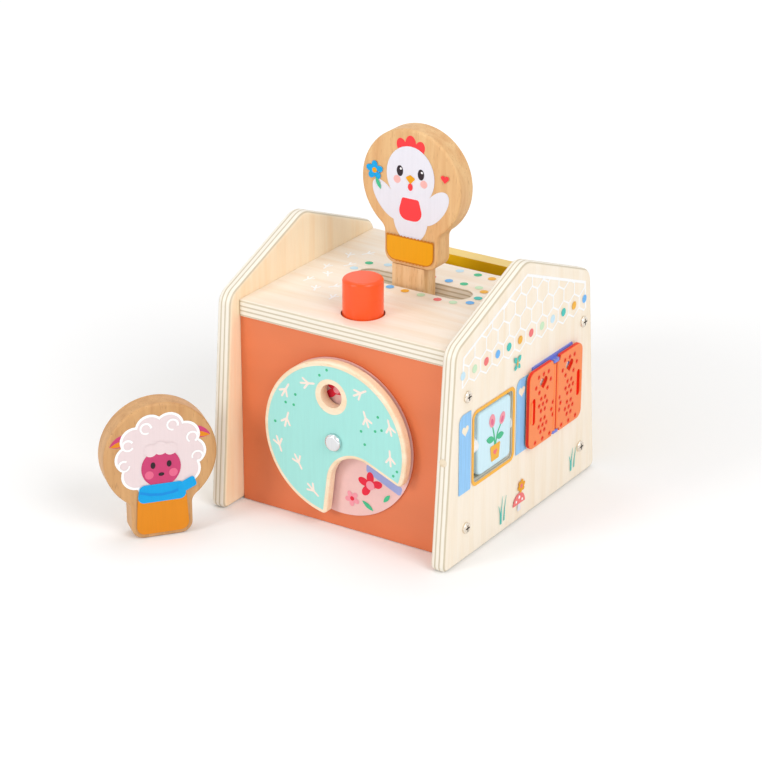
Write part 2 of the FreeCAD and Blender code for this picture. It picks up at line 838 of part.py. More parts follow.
# Lifter with its pad, rods and springs
lifter_bar = box(
    (-lifter_half_length, lifter_front, lifter_bottom),
    (lifter_half_length, lifter_front + lifter_depth, lifter_top),
)
lifter_lip = box(
    (-lifter_lip_half_width, lifter_front - lifter_lip_depth, lifter_bottom),
    (lifter_lip_half_width, lifter_front, lifter_bottom + lifter_lip_height),
)
lifter_holes = [
    rod("Z", side * rod_x, slot_y, lifter_bottom, lifter_top, rod_radius + rod_slide_gap) for side in (-1, 1)
]
lifter_bar = join([lifter_bar, lifter_lip]).cut(lifter_holes)
half_pad = pad_length / 2
lifter_pad = box(
    (-half_pad, lifter_front, lifter_top),
    (half_pad, lifter_front + lifter_depth, pad_top),
)
guide_rods = Part.makeCompound([
    rod("Z", side * rod_x, slot_y, rod_bottom, rod_top, rod_radius) for side in (-1, 1)
])
lift_coil_low = base_ply + face_gap
lift_coil_high = lifter_bottom - face_gap
lift_springs = Part.makeCompound([
    coil(x, slot_y, lift_coil_low, lift_coil_high, lift_coil_radius, lift_wire_radius, lift_coil_turns)
    for x in (-rod_x, rod_x)
])


# Figures
def figure():
    """Flat figure blank: round head on a narrower foot, standing at the origin and facing -Y."""
    head = rod("Y", 0, figure_head_height, 0, figure_thickness, figure_head_radius)
    half = figure_foot_width / 2
    foot = plate(
        "Y",
        0,
        figure_thickness,
        [(-half, 0), (half, 0), (half, figure_head_height), (-half, figure_head_height)],
        [figure_foot_round, figure_foot_round, 0, 0],
    )
    blank = join([head, foot])
    neck = []
    for edge in edges_along(blank, "Y"):
        reach = math.hypot(edge.CenterOfMass.x, edge.CenterOfMass.z - figure_head_height)
        if abs(reach - figure_head_radius) < 0.01 and abs(abs(edge.CenterOfMass.x) - half) < 0.01:
            neck.append(edge)
    blank = blank.makeFillet(figure_neck_round, neck)
    return blank.makeFillet(figure_edge_round, edges_at(blank, "Y", [0, figure_thickness]))


popup_figure = figure()
popup_figure.translate(Vector(popup_shift, slot_y - figure_thickness / 2, pad_top + face_gap))
standing_figure = figure()
standing_figure.rotate(Vector(), Vector(0, 0, 1), standing_turn)
standing_figure.translate(Vector(standing_x, standing_y, 0))

PARTS = {
    "left_side_panel": left_side_panel,
    "right_side_panel": right_side_panel,
    "front_panel": front_panel,
    "rear_panel": rear_panel,
    "roof_deck": roof_deck,
    "base_panel": base_panel,
    "storage_ledge": storage_ledge,
    "left_panel_screws": left_panel_screws,
    "right_panel_screws": right_panel_screws,
    "picture_plate": picture_plate,
    "disc_washer": disc_washer,
    "disc_axle": disc_axle,
    "axle_nut": axle_nut,
    "reveal_disc": reveal_disc,
    "flip_tile": flip_tile,
    "tile_axle": tile_axle,
    "axle_plug": axle_plug,
    "tile_spacers": tile_spacers,
    "door_frame": door_frame,
    "door_picture": door_picture,
    "door_pins": door_pins,
    "front_door_leaf": front_door_leaf,
    "rear_door_leaf": rear_door_leaf,
    "button_cap": button_cap,
    "button_flange": button_flange,
    "button_stem": button_stem,
    "button_guide": button_guide,
    "button_spring": button_spring,
    "latch_lever": latch_lever,
    "latch_weight": latch_weight,
    "latch_bracket": latch_bracket,
    "latch_pin": latch_pin,
    "lifter_bar": lifter_bar,
    "lifter_pad": lifter_pad,
    "guide_rods": guide_rods,
    "lift_springs": lift_springs,
    "popup_figure": popup_figure,
    "standing_figure": standing_figure,
}

os.makedirs("parts", exist_ok=True)
for node, shape in PARTS.items():
    shape.exportStep("parts/" + node + ".step")
    print(node, len(shape.Solids), round(shape.Volume, 1), "valid", shape.isValid())
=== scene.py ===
import bpy
import bmesh
import math
from mathutils import Matrix, Vector


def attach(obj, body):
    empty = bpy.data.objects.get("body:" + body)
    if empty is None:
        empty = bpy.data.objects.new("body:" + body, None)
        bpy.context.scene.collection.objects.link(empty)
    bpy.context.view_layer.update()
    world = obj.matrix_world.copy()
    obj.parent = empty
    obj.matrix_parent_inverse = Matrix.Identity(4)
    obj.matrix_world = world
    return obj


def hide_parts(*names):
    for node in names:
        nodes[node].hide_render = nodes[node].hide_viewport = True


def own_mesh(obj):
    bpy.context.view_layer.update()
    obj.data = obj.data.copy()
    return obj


# Wooden pop-up play house. The model gives the panels, disc, button, doors and figures. This
# script gives their finishes, the flat prints that sit on them, the wound springs, and the
# floor, light and camera.

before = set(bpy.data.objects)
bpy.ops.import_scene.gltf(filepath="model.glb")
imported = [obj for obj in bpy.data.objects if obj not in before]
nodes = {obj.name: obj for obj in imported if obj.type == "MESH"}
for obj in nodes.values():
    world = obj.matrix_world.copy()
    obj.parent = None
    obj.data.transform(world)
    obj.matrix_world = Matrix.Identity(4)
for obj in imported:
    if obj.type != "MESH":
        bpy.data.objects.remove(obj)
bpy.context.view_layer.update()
MM = 0.001

# Places on the model in mm: x to the right, y to the rear, z up, from the middle of the house
PLY = 9.0
PANEL_FACE = 75.0
DECK_TOP = 118.0
DISC_CENTRE = 54.0
DISC_FACE = -70.7
PLATE_FACE = -63.2
DOOR_BACK = 76.2
DOOR_FACE = 78.4
DOOR_FOOT = 40.4
FRONT_PIN = 26.4
REAR_PIN = 30.0
SCREW_RECESS_FLOOR = 75.7
BUTTON_Y = -42.4
LIFTER_Y = 7.5
ROD_X = 42
RAISED_FIGURE_FOOT = (2.0, 0.75, 130.2)
LOOSE_FIGURE_FOOT = (-75.3, -123.2, 0)
LOOSE_FIGURE_TURN = 51.6

RIGHT = (1, 0, 0)
REAR = (0, 1, 0)
FRONT = (0, -1, 0)
UP = (0, 0, 1)


# Colours and node trees

def linear(code):
    """Linear colour from an sRGB hex value."""
    colour = []
    for start in (0, 2, 4):
        share = int(code[start:start + 2], 16) / 255
        colour.append(share / 12.92 if share <= 0.04045 else ((share + 0.055) / 1.055) ** 2.4)
    return (*colour, 1.0)


def add(tree, kind, inputs=None, **settings):
    """Add a node with its settings, plain input values and links from other sockets."""
    node = tree.nodes.new(kind)
    for name, value in settings.items():
        setattr(node, name, value)
    for name, value in (inputs or {}).items():
        if isinstance(value, bpy.types.NodeSocket):
            tree.links.new(value, node.inputs[name])
        else:
            node.inputs[name].default_value = value
    return node


def new_material(name):
    """Material with an empty tree, and its tree."""
    material = bpy.data.materials.new(name)
    material.use_nodes = True
    material.node_tree.nodes.clear()
    return material, material.node_tree


def finish_surface(tree, colour, height, relief, depth, **shader):
    """Surface with a colour, a fine relief of so much strength and depth in mm, and the shader's
    own plain values."""
    ridges = {"Height": height, "Strength": relief, "Distance": depth * MM}
    bump = add(tree, "ShaderNodeBump", ridges)
    inputs = {"Base Color": colour, "Normal": bump.outputs[0]}
    inputs.update({name.replace("_", " "): value for name, value in shader.items()})
    surface = add(tree, "ShaderNodeBsdfPrincipled", inputs)
    add(tree, "ShaderNodeOutputMaterial", {"Surface": surface.outputs[0]})


def drawn_out(axis, length, width):
    """Scale of a pattern length mm long along an axis and width mm wide across it."""
    scale = [1 / (width * MM)] * 3
    scale["XYZ".index(axis)] = 1 / (length * MM)
    return scale


def grain_field(tree, axis, length, width, detail=2.0):
    """Noise drawn out along an axis: streaks about width mm across and length mm long."""
    place = add(tree, "ShaderNodeTexCoord")
    scale = drawn_out(axis, length, width)
    mapped = add(tree, "ShaderNodeMapping", {"Vector": place.outputs["Object"], "Scale": scale})
    shape = {"Scale": 1.0, "Detail": detail, "Roughness": 0.55, "Distortion": 0.4}
    noise = add(tree, "ShaderNodeTexNoise", {"Vector": mapped.outputs[0], **shape})
    return noise.outputs["Fac"]


def shaded(tree, field, first, second, low=0.35, high=0.7):
    """Colour that goes from first to second as a field rises from low to high."""
    share = add(tree, "ShaderNodeMapRange", {"Value": field, "From Min": low, "From Max": high})
    # Of the mix node's sockets, 0 is the share, and 6, 7 and output 2 are its colours
    colours = {0: share.outputs[0], 6: first, 7: second}
    return add(tree, "ShaderNodeMix", colours, data_type="RGBA").outputs[2]


def mottled(tree, field, code, share, low=0.35, high=0.7):
    """Colour of a hex value that darkens by a share as a field rises from low to high."""
    darker = tuple(channel * (1 - share) for channel in linear(code)[:3]) + (1.0,)
    return shaded(tree, field, linear(code), darker, low, high)


def coordinate(tree, kind, axis):
    """One axis of the place on a piece, or of the direction its surface faces."""
    place = add(tree, "ShaderNodeTexCoord")
    return add(tree, "ShaderNodeSeparateXYZ", {"Vector": place.outputs[kind]}).outputs[axis]


def face_share(tree, axis):
    """1 on the broad faces square to an axis, 0 on the cut edges."""
    facing = coordinate(tree, "Normal", axis)
    size = add(tree, "ShaderNodeMath", {0: facing}, operation="ABSOLUTE")
    turn_over = {"From Min": 0.72, "From Max": 0.93}
    return add(tree, "ShaderNodeMapRange", {"Value": size.outputs[0], **turn_over}).outputs[0]


def ply_layers(tree, axis, start, thickness):
    """Stripes of the seven veneers across a plywood edge, wavy by 0.25 mm every 18 mm or so."""
    place = add(tree, "ShaderNodeTexCoord")
    waves_in_a_metre = 55.0
    wobble = add(
        tree,
        "ShaderNodeTexNoise",
        {"Vector": place.outputs["Object"], "Scale": waves_in_a_metre, "Detail": 2.0},
    )
    shift = add(
        tree,
        "ShaderNodeMath",
        {0: wobble.outputs["Fac"], 1: 0.25 * MM, 2: coordinate(tree, "Object", axis)},
        operation="MULTIPLY_ADD",
    )
    depth = add(tree, "ShaderNodeMath", {0: shift.outputs[0], 1: start * MM}, operation="SUBTRACT")
    veneers = 7
    per_metre = math.pi * veneers / (thickness * MM)
    turns = add(tree, "ShaderNodeMath", {0: depth.outputs[0], 1: per_metre}, operation="MULTIPLY")
    return add(tree, "ShaderNodeMath", {0: turns.outputs[0]}, operation="SINE").outputs[0]


# Materials

def birch_plywood(name, axis, start, thickness, grain_axis, face="FCF0DE", deep="F7E6CC"):
    """Birch plywood, rotary cut, sanded and sealed with satin lacquer. Its veneers are stacked
    along an axis, from start.

    Seen as a pale cream face with broad faint flames, and striped edges. Lacquer has an IOR of 1.5,
    and sanding leaves it at a roughness near 0.45. The flames are 7 mm wide and 90 mm long, and the
    fibres 0.5 mm wide."""
    material, tree = new_material(name)
    flame = grain_field(tree, grain_axis, length=90.0, width=7.0, detail=4.0)
    fibre = grain_field(tree, grain_axis, length=14.0, width=0.5)
    face_tone = shaded(tree, flame, linear(face), linear(deep), 0.4, 0.72)
    layers = ply_layers(tree, axis, start, thickness)
    edge_tone = shaded(tree, layers, linear("F4EDDF"), linear("CDBFA4"), 0.25, 0.85)
    tone = shaded(tree, face_share(tree, axis), edge_tone, face_tone, 0.0, 1.0)
    shade_range = {"From Min": 0.25, "From Max": 0.75, "To Min": 0.965, "To Max": 1.02}
    shade = add(tree, "ShaderNodeMapRange", {"Value": fibre, **shade_range})
    fibred = {0: tone, "Scale": shade.outputs[0]}
    toned = add(tree, "ShaderNodeVectorMath", fibred, operation="SCALE")
    finish_surface(
        tree, toned.outputs[0], fibre, relief=0.12, depth=0.2,
        Roughness=0.46, IOR=1.5, Coat_Weight=0.15, Coat_Roughness=0.3,
    )
    return material


def painted_plywood(name, code, axis, cut_axis, cut_code):
    """Plywood under one thin coat of satin water-based paint, rolled on.

    Seen as an even colour over which the grain stands as fine ridges, with another tone on the cut
    edges, which drink the paint. The paint has an IOR of 1.5 and a roughness near 0.4. The ridges
    are 0.7 mm apart, and the paint is cloudy over 30 mm."""
    material, tree = new_material(name)
    ridges = grain_field(tree, axis, length=18.0, width=0.7)
    cloud = grain_field(tree, axis, length=60.0, width=30.0)
    coat = mottled(tree, cloud, code, 0.07)
    cut = mottled(tree, ridges, cut_code, 0.07)
    tone = shaded(tree, face_share(tree, cut_axis), coat, cut, 0.0, 1.0)
    finish_surface(tree, tone, ridges, relief=0.14, depth=0.2, Roughness=0.42, IOR=1.5)
    return material


def oiled_wood(name, axis, pale="EFCB9B", dark="D9A66C", fleck_code="B98250", turn=0.0):
    """Beech or birch, planed and oiled. The piece may be turned on the floor by so many degrees.

    Beech is seen as a warm pinkish tan with short darker flecks along the grain, which are the
    wood's rays, and birch as cream. Oil has an IOR near 1.5 and leaves a soft roughness near 0.5.
    The growth bands are 5 mm wide. Real flecks are 0.3 mm wide: they are drawn 0.7 mm wide and 6 mm
    long, so that they show."""
    material, tree = new_material(name)
    bands = grain_field(tree, axis, length=60.0, width=5.0, detail=4.0)
    place = add(tree, "ShaderNodeTexCoord")
    back = (0.0, 0.0, math.radians(-turn))
    turned = add(tree, "ShaderNodeMapping", {"Vector": place.outputs["Object"], "Rotation": back})
    scale = drawn_out(axis, length=6.0, width=0.7)
    mapped = add(tree, "ShaderNodeMapping", {"Vector": turned.outputs[0], "Scale": scale})
    rays = {"Vector": mapped.outputs[0], "Scale": 1.0, "Detail": 2.0}
    fleck = add(tree, "ShaderNodeTexNoise", rays).outputs["Fac"]
    tone = shaded(tree, bands, linear(pale), linear(dark))
    tone = shaded(tree, fleck, tone, linear(fleck_code), 0.6, 0.82)
    finish_surface(tree, tone, fleck, relief=0.1, depth=0.2, Roughness=0.48, IOR=1.5)
    return material


def printed_ink(name, code, strength=1.0):
    """Ink screen-printed on sealed wood.

    Seen as a flat, slightly chalky colour with a breath of the grain under it. Ink has an IOR of
    1.48, dries matt at a roughness near 0.45 and shines less than lacquer. The grain under it is
    1.1 mm wide."""
    material, tree = new_material(name)
    fibre = grain_field(tree, "Z", length=22.0, width=1.1)
    tone = mottled(tree, fibre, code, 0.07 * strength, 0.4, 0.65)
    finish_surface(
        tree, tone, fibre, relief=0.06, depth=0.2, Roughness=0.45, IOR=1.48, Specular_IOR_Level=0.3
    )
    return material


def printed_card(name, code, cut_code, axis):
    """Printed paper face glued on a thin board, trimmed flush.

    Seen as a smooth even colour on the face, with the board's painted edge. Coated paper has an IOR
    of 1.5 and a roughness near 0.4. The paper's cloudiness is 3 mm across."""
    material, tree = new_material(name)
    cloud = grain_field(tree, "Z", length=3.0, width=3.0)
    face = mottled(tree, cloud, code, 0.03)
    tone = shaded(tree, face_share(tree, axis), linear(cut_code), face, 0.0, 1.0)
    finish_surface(
        tree, tone, cloud, relief=0.05, depth=0.1, Roughness=0.42, IOR=1.5, Specular_IOR_Level=0.4
    )
    return material


def mould_grain(tree):
    """Even grain of a spark-eroded mould. It is 0.1 mm and is drawn at 0.5 mm, so that it shows."""
    place = add(tree, "ShaderNodeTexCoord")
    grain = {"Vector": place.outputs["Object"], "Scale": 1 / (0.5 * MM), "Detail": 2.0}
    return add(tree, "ShaderNodeTexNoise", grain).outputs["Fac"]


def moulded_plastic(name, code, rough, mottle=0.04):
    """Injection-moulded ABS or nylon.

    Seen as one clean colour with a fine even grain, which makes it satin. Both plastics have an IOR
    near 1.53."""
    material, tree = new_material(name)
    fine = mould_grain(tree)
    tone = mottled(tree, fine, code, mottle, 0.35, 0.65)
    finish_surface(
        tree, tone, fine, relief=0.05, depth=0.1, Roughness=rough, IOR=1.53, Specular_IOR_Level=0.4
    )
    return material


def pit_shaded_plastic(name, code, shade_code, axis, back, face):
    """Injection-moulded ABS, with painted shade below its faces.

    Seen as orange on both faces, with red painted in the pits and round the edge as shade. ABS
    has an IOR of 1.53 and is satin here. The faces are at so many mm along the axis, and the
    painted shade comes in over 0.35 mm below them."""
    material, tree = new_material(name)
    fine = mould_grain(tree)
    top = mottled(tree, fine, code, 0.05, 0.35, 0.65)
    middle = add(
        tree,
        "ShaderNodeMath",
        {0: coordinate(tree, "Object", axis), 1: (back + face) / 2 * MM},
        operation="SUBTRACT",
    )
    height = add(tree, "ShaderNodeMath", {0: middle.outputs[0]}, operation="ABSOLUTE")
    half = (face - back) / 2
    low = (half - 0.45) * MM
    high = (half - 0.1) * MM
    # Below the faces the orange turns to painted shade
    tone = shaded(tree, height.outputs[0], linear(shade_code), top, low, high)
    finish_surface(
        tree, tone, fine, relief=0.05, depth=0.1, Roughness=0.42, IOR=1.53, Specular_IOR_Level=0.3
    )
    return material


def lacquered_turning(name, code):
    """Beech turned on a lathe, under orange-red lacquer.

    Seen as a smooth strong colour with faint rings round it. Lacquer has an IOR of 1.5 and a
    roughness near 0.3. The rings are 1.1 mm apart, the feed of the tool, and change over 25 mm."""
    material, tree = new_material(name)
    place = add(tree, "ShaderNodeTexCoord")
    scale = drawn_out("Z", length=1.1, width=25)
    mapped = add(tree, "ShaderNodeMapping", {"Vector": place.outputs["Object"], "Scale": scale})
    feed = {"Vector": mapped.outputs[0], "Scale": 1.0, "Detail": 2.0}
    rings = add(tree, "ShaderNodeTexNoise", feed).outputs["Fac"]
    tone = mottled(tree, rings, code, 0.06)
    finish_surface(
        tree, tone, rings, relief=0.05, depth=0.2, Roughness=0.28, IOR=1.5, Specular_IOR_Level=0.45
    )
    return material


def steel(name, code, rough, relief=0.0):
    """Drawn or plated steel.

    Seen as a grey mirror, blurred where it is only zinc plated or drawn, with fine lines along the
    wire. Metals keep the default IOR. The drawing lines are 0.05 mm and are drawn at 0.15 mm, so
    that they show."""
    material, tree = new_material(name)
    lines = grain_field(tree, "Z", length=30.0, width=0.15)
    tone = mottled(tree, lines, code, 0.12, 0.3, 0.7)
    finish_surface(tree, tone, lines, relief, depth=0.1, Roughness=rough, Metallic=1.0)
    return material


def screw_steel(name, floor_x):
    """Nickel-plated screw heads with a cross recess.

    Seen as a bright warm rim round a cross painted black as shade, since no light comes back
    out of it. Nickel is a metal of roughness 0.2 with the default IOR. Painted dark as shade are
    the flat places less than 0.4 mm above the recess's floor, which lies so many mm either side
    of the middle. The plating's mottling is 0.3 mm wide."""
    material, tree = new_material(name)
    side = add(tree, "ShaderNodeMath", {0: coordinate(tree, "Object", "X")}, operation="ABSOLUTE")
    near_floor = {"From Min": (floor_x + 0.4) * MM, "From Max": (floor_x + 0.1) * MM}
    low = add(tree, "ShaderNodeMapRange", {"Value": side.outputs[0], **near_floor})
    flat = face_share(tree, "X")
    recess = add(tree, "ShaderNodeMath", {0: low.outputs[0], 1: flat}, operation="MULTIPLY")
    plating = grain_field(tree, "Z", length=1.0, width=0.3)
    rim = shaded(tree, plating, linear("F4ECE0"), linear("D6CAB8"), 0.3, 0.7)
    # 1E1612 is painted shade in the cross recess
    tone = shaded(tree, recess.outputs[0], rim, linear("1E1612"), 0.0, 1.0)
    finish_surface(tree, tone, plating, relief=0.05, depth=0.1, Roughness=0.2, Metallic=1.0)
    return material


# Flat outlines in millimetres

def disc(u, v, radius, count=36):
    """Round outline."""
    return oval(u, v, radius, radius, 0.0, count)


def oval(u, v, across, up, turn=0.0, count=36):
    """Oval outline, turned by degrees."""
    lean = math.radians(turn)
    points = []
    for step in range(count):
        angle = 2 * math.pi * step / count
        x = across * math.cos(angle)
        y = up * math.sin(angle)
        points.append((
            u + x * math.cos(lean) - y * math.sin(lean),
            v + x * math.sin(lean) + y * math.cos(lean),
        ))
    return points


def rounded(points, radii, steps=7):
    """Polygon with each corner rounded by its radius."""
    if not isinstance(radii, (list, tuple)):
        radii = [radii] * len(points)
    result = []
    for index, radius in enumerate(radii):
        corner = Vector(points[index])
        back = (Vector(points[index - 1]) - corner).normalized()
        ahead = (Vector(points[(index + 1) % len(points)]) - corner).normalized()
        half = back.angle(ahead) / 2
        if radius <= 0 or half > math.pi / 2 - 0.01:
            result.append(tuple(corner))
            continue
        centre = corner + (back + ahead).normalized() * (radius / math.sin(half))
        first = corner + back * (radius / math.tan(half)) - centre
        last = corner + ahead * (radius / math.tan(half)) - centre
        sweep = first.angle_signed(last)
        for step in range(steps + 1):
            arm = first.copy()
            arm.rotate(Matrix.Rotation(-sweep * step / steps, 2))
            result.append(tuple(centre + arm))
    return result


def panel(low_u, low_v, high_u, high_v, radii):
    """Rectangle with rounded corners."""
    corners = [(low_u, low_v), (high_u, low_v), (high_u, high_v), (low_u, high_v)]
    return rounded(corners, radii)


def bent_stroke(knots, width, end_width=None):
    """Brush stroke along several points, which may change its width towards its end."""
    end_width = width if end_width is None else end_width
    last = len(knots) - 1
    left = []
    right = []
    for index, knot in enumerate(knots):
        before = Vector(knots[max(index - 1, 0)])
        after = Vector(knots[min(index + 1, last)])
        run = (after - before).normalized()
        side = Vector((-run.y, run.x)) * (width + (end_width - width) * index / last) / 2
        left.append(tuple(Vector(knot) + side))
        right.append(tuple(Vector(knot) - side))
    return left + right[::-1]


def arc_points(u, v, radius, start, end, count=14):
    """Points along a circular arc between two angles in degrees."""
    points = []
    for step in range(count + 1):
        angle = math.radians(start + (end - start) * step / count)
        points.append((u + radius * math.cos(angle), v + radius * math.sin(angle)))
    return points


def heart(u, v, size):
    """Heart outline, size mm wide."""
    points = []
    # The curve below is 32 wide before it is scaled
    for step in range(32):
        t = 2 * math.pi * step / 32
        x = 16 * math.sin(t) ** 3
        y = 13 * math.cos(t) - 5 * math.cos(2 * t) - 2 * math.cos(3 * t) - math.cos(4 * t)
        points.append((u + x * size / 32, v + y * size / 32))
    return points


def leaf(start, end, width):
    """Leaf with pointed ends between two points."""
    start = Vector(start)
    run = Vector(end) - start
    side = Vector((-run.y, run.x)).normalized() * width / 2
    points = []
    for sign, steps in ((1, range(11)), (-1, range(10, -1, -1))):
        for step in steps:
            share = step / 10
            bulge = sign * math.sin(math.pi * share) ** 0.8
            points.append(tuple(start + run * share + side * bulge))
    return points


def bird_track(u, v, size, turn):
    """Three toes and a spur in one outline."""
    spur, toe, long_toe = 0.45, 0.52, 0.62
    arms = [(turn - 90, spur), (turn + 48, toe), (turn + 90, long_toe), (turn + 132, toe)]
    half = size * 0.075
    points = []
    for index, (angle, length) in enumerate(arms):
        ahead = Vector((math.cos(math.radians(angle)), math.sin(math.radians(angle))))
        side = Vector((-ahead.y, ahead.x)) * half
        tip = Vector((u, v)) + ahead * size * length
        points += [tuple(tip - side), tuple(tip + ahead * half), tuple(tip + side)]
        following = arms[(index + 1) % len(arms)][0]
        gap = math.radians((following - angle) % 360)
        corner = math.radians(angle) + gap / 2
        reach = half / math.sin(gap / 2)
        points.append((u + reach * math.cos(corner), v + reach * math.sin(corner)))
    return points


def pinked(left, right, low, high, tooth, corner):
    """Patch with round lower corners, its lower and upper edges cut in small teeth like pinked
    cloth."""
    run = right - left - 2 * corner
    count = 2 * round(run / tooth / 2)
    points = arc_points(left + corner, low + corner, corner, 180, 270, 6)
    for step in range(1, count):
        points.append((left + corner + run * step / count, low - tooth / 2 * (step % 2)))
    points += arc_points(right - corner, low + corner, corner, 270, 360, 6)
    count = 2 * round((right - left) / tooth / 2)
    for step in range(count + 1):
        points.append((right + (left - right) * step / count, high + tooth / 2 * (step % 2)))
    return points


def grass(u, v, tall):
    """Tuft of three tapering blades."""
    left = [(u, v), (u - 0.4, v + tall * 0.4), (u - 2.2, v + tall * 0.72)]
    middle = [(u + 0.3, v), (u + 0.6, v + tall * 0.5), (u + 1.8, v + tall)]
    right = [(u + 3.4, v + 1), (u + 4.0, v + tall * 0.5), (u + 5.4, v + tall * 0.95)]
    tip = 0.3
    return [
        bent_stroke(left, 1.3, tip),
        bent_stroke(middle, 1.3, tip),
        bent_stroke(right, 1.2, tip),
    ]


def clipped(outline, limits):
    """Convex outline cut down to the half planes a*u + b*v <= c."""
    for a, b, c in limits:
        kept = []
        for index, point in enumerate(outline):
            before = outline[index - 1]
            here = a * point[0] + b * point[1] - c
            there = a * before[0] + b * before[1] - c
            if here * there < 0:
                share = there / (there - here)
                kept.append((
                    before[0] + (point[0] - before[0]) * share,
                    before[1] + (point[1] - before[1]) * share,
                ))
            if here <= 0:
                kept.append(point)
        outline = kept
    return outline


def area(outline):
    """Area inside an outline."""
    total = 0.0
    for (u, v), (x, y) in zip(outline, outline[1:] + outline[:1]):
        total += u * y - x * v
    return abs(total) / 2


# Layers of a print: a material with the outlines printed in it

def in_two(material, outlines):
    """Outlines dealt into two layers, so that neighbours which overlap lie in different ones."""
    return [(material, outlines[0::2]), (material, outlines[1::2])]


def blossom(petal_ink, eye_ink, u, v, petals, reach, across, eye, turn=0.0, count=18):
    """Ring of oval petals round an eye."""
    ring = []
    for step in range(petals):
        lean = turn + 360 * step / petals
        petal_u = u + reach * math.cos(math.radians(lean))
        petal_v = v + reach * math.sin(math.radians(lean))
        ring.append(oval(petal_u, petal_v, reach * 0.8, across, lean, 20))
    return in_two(petal_ink, ring) + [(eye_ink, [disc(u, v, eye, count)])]


# The scene's own pieces

PRINT_LIFT = 0.04  # mm between a face and its first ink
INK_STEP = 0.03  # mm between one ink and the next


def add_drawn(sheet, curve, placing):
    """Add the mesh of a curve to a mesh in the making, moved by a matrix."""
    shape = bpy.data.objects.new("outline", curve)
    drawn = bpy.data.meshes.new_from_object(shape)
    drawn.transform(placing)
    sheet.from_mesh(drawn)
    bpy.data.objects.remove(shape)
    bpy.data.curves.remove(curve)
    bpy.data.meshes.remove(drawn)


def new_piece(name, sheet, materials, body):
    """Piece from a finished mesh, which rides on a body."""
    mesh = bpy.data.meshes.new(name)
    sheet.to_mesh(mesh)
    sheet.free()
    for material in materials:
        mesh.materials.append(material)
    piece = bpy.data.objects.new(name, mesh)
    bpy.context.collection.objects.link(piece)
    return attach(piece, body)


def print_on(name, body, across, up, origin, layers):
    """Flat print on one face, with holes where an outline lies inside another. Each layer lies a
    hair above the one before it."""
    across = Vector(across)
    up = Vector(up)
    normal = across.cross(up)
    turn = Matrix((across, up, normal)).transposed().to_4x4()
    sheet = bmesh.new()
    materials = []
    for depth, (material, outlines) in enumerate(layers):
        curve = bpy.data.curves.new("outline", "CURVE")
        curve.dimensions = "2D"
        curve.fill_mode = "BOTH"
        for outline in outlines:
            spline = curve.splines.new("POLY")
            spline.points.add(len(outline) - 1)
            spline.use_cyclic_u = True
            for point, (u, v) in zip(spline.points, outline):
                point.co = (u, v, 0.0, 1.0)
        lift = PRINT_LIFT + INK_STEP * depth
        place = Matrix.Translation(Vector(origin) + normal * lift)
        first = len(sheet.faces)
        add_drawn(sheet, curve, Matrix.Scale(MM, 4) @ place @ turn)
        if material not in materials:
            materials.append(material)
        sheet.faces.ensure_lookup_table()
        for face in sheet.faces[first:]:
            face.material_index = materials.index(material)
            if face.normal.dot(normal) < 0:
                face.normal_flip()
    new_piece(name, sheet, materials, body)


WIRE_STEPS = 24  # points in one turn of wire


def coil_spring(name, node, middles, low, high, radius, wire, turns):
    """Compression springs with a closed turn at each end, wound between their foot and top. In mm:
    their middles, foot and top, the coil's radius to the wire's middle and the wire's own radius;
    then the number of turns."""
    wound = bmesh.new()
    open_rise = high - low - 6 * wire
    for x, y in middles:
        curve = bpy.data.curves.new("wire", "CURVE")
        curve.dimensions = "3D"
        curve.bevel_depth = wire
        curve.bevel_resolution = 2
        curve.use_fill_caps = True
        spline = curve.splines.new("POLY")
        spline.points.add(WIRE_STEPS * turns)
        for step, point in enumerate(spline.points):
            turn = step / WIRE_STEPS
            rise = 2 * wire * (min(turn, 1) + max(turn - turns + 1, 0))
            rise += open_rise * min(max(turn - 1, 0) / (turns - 2), 1)
            angle = 2 * math.pi * turn
            place = (x + radius * math.cos(angle), y + radius * math.sin(angle), low + wire + rise)
            point.co = (*place, 1.0)
        add_drawn(wound, curve, Matrix.Scale(MM, 4))
    piece = new_piece(name, wound, [spring_wire], "house")
    piece.data.polygons.foreach_set("use_smooth", [True] * len(piece.data.polygons))
    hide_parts(node)
    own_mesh(piece)


# Finishes of the model's own pieces

panel_back = PANEL_FACE - PLY
left_birch = birch_plywood("side_birch_left", "X", -PANEL_FACE, PLY, "Z", "FFECCC", "FBDFB6")
right_birch = birch_plywood("side_birch_right", "X", panel_back, PLY, "Z")
deck_birch = birch_plywood("deck_birch", "Z", DECK_TOP - PLY, PLY, "X", "F9EEDF", "F4E1C9")
base_birch = birch_plywood("base_birch", "Z", 0.0, 6.0, "X")
terracotta = painted_plywood("terracotta_paint", "E67C4C", "X", "Z", "E58457")
ochre_paint = painted_plywood("ochre_paint", "FCC400", "X", "Z", "F2D27C")
disc_birch = oiled_wood("disc_birch", "X", "FBE7CB", "F3D8B2", "E3BE8E")
plug_birch = oiled_wood("plug_birch", "Y", "EEDFC6", "E2CDAA", "C6A67C")
plate_card = printed_card("plate_card", "F0C4BF", "C9683F", "Y")
picture_card = printed_card("picture_card", "F6F1EE", "D8D0C4", "X")
beech_upright = oiled_wood("beech_upright", "Z")
beech_flat = oiled_wood("beech_flat", "X")
beech_figure = oiled_wood("beech_figure", "Z", "E8BE86", "DAA56C")
beech_loose = oiled_wood("beech_loose", "Z", "D6A56E", "C48F58", "95653A", LOOSE_FIGURE_TURN)
tile_wash = printed_ink("tile_wash", "D3F1FB", 0.5)
# F22A10 is painted shade, in the door leaves' pits and round their edges
orange_moulding = pit_shaded_plastic("orange_moulding", "FD8B4C", "F22A10", "X", DOOR_BACK, DOOR_FACE)
violet_moulding = moulded_plastic("violet_moulding", "7585E0", 0.45)
nylon = moulded_plastic("white_nylon", "F4F4F2", 0.4, 0.02)
button_lacquer = lacquered_turning("button_lacquer", "FF5616")
chrome = steel("chromed_steel", "E6E8EA", 0.08)
zinc = steel("zinc_plated_steel", "C8CACD", 0.32, 0.15)
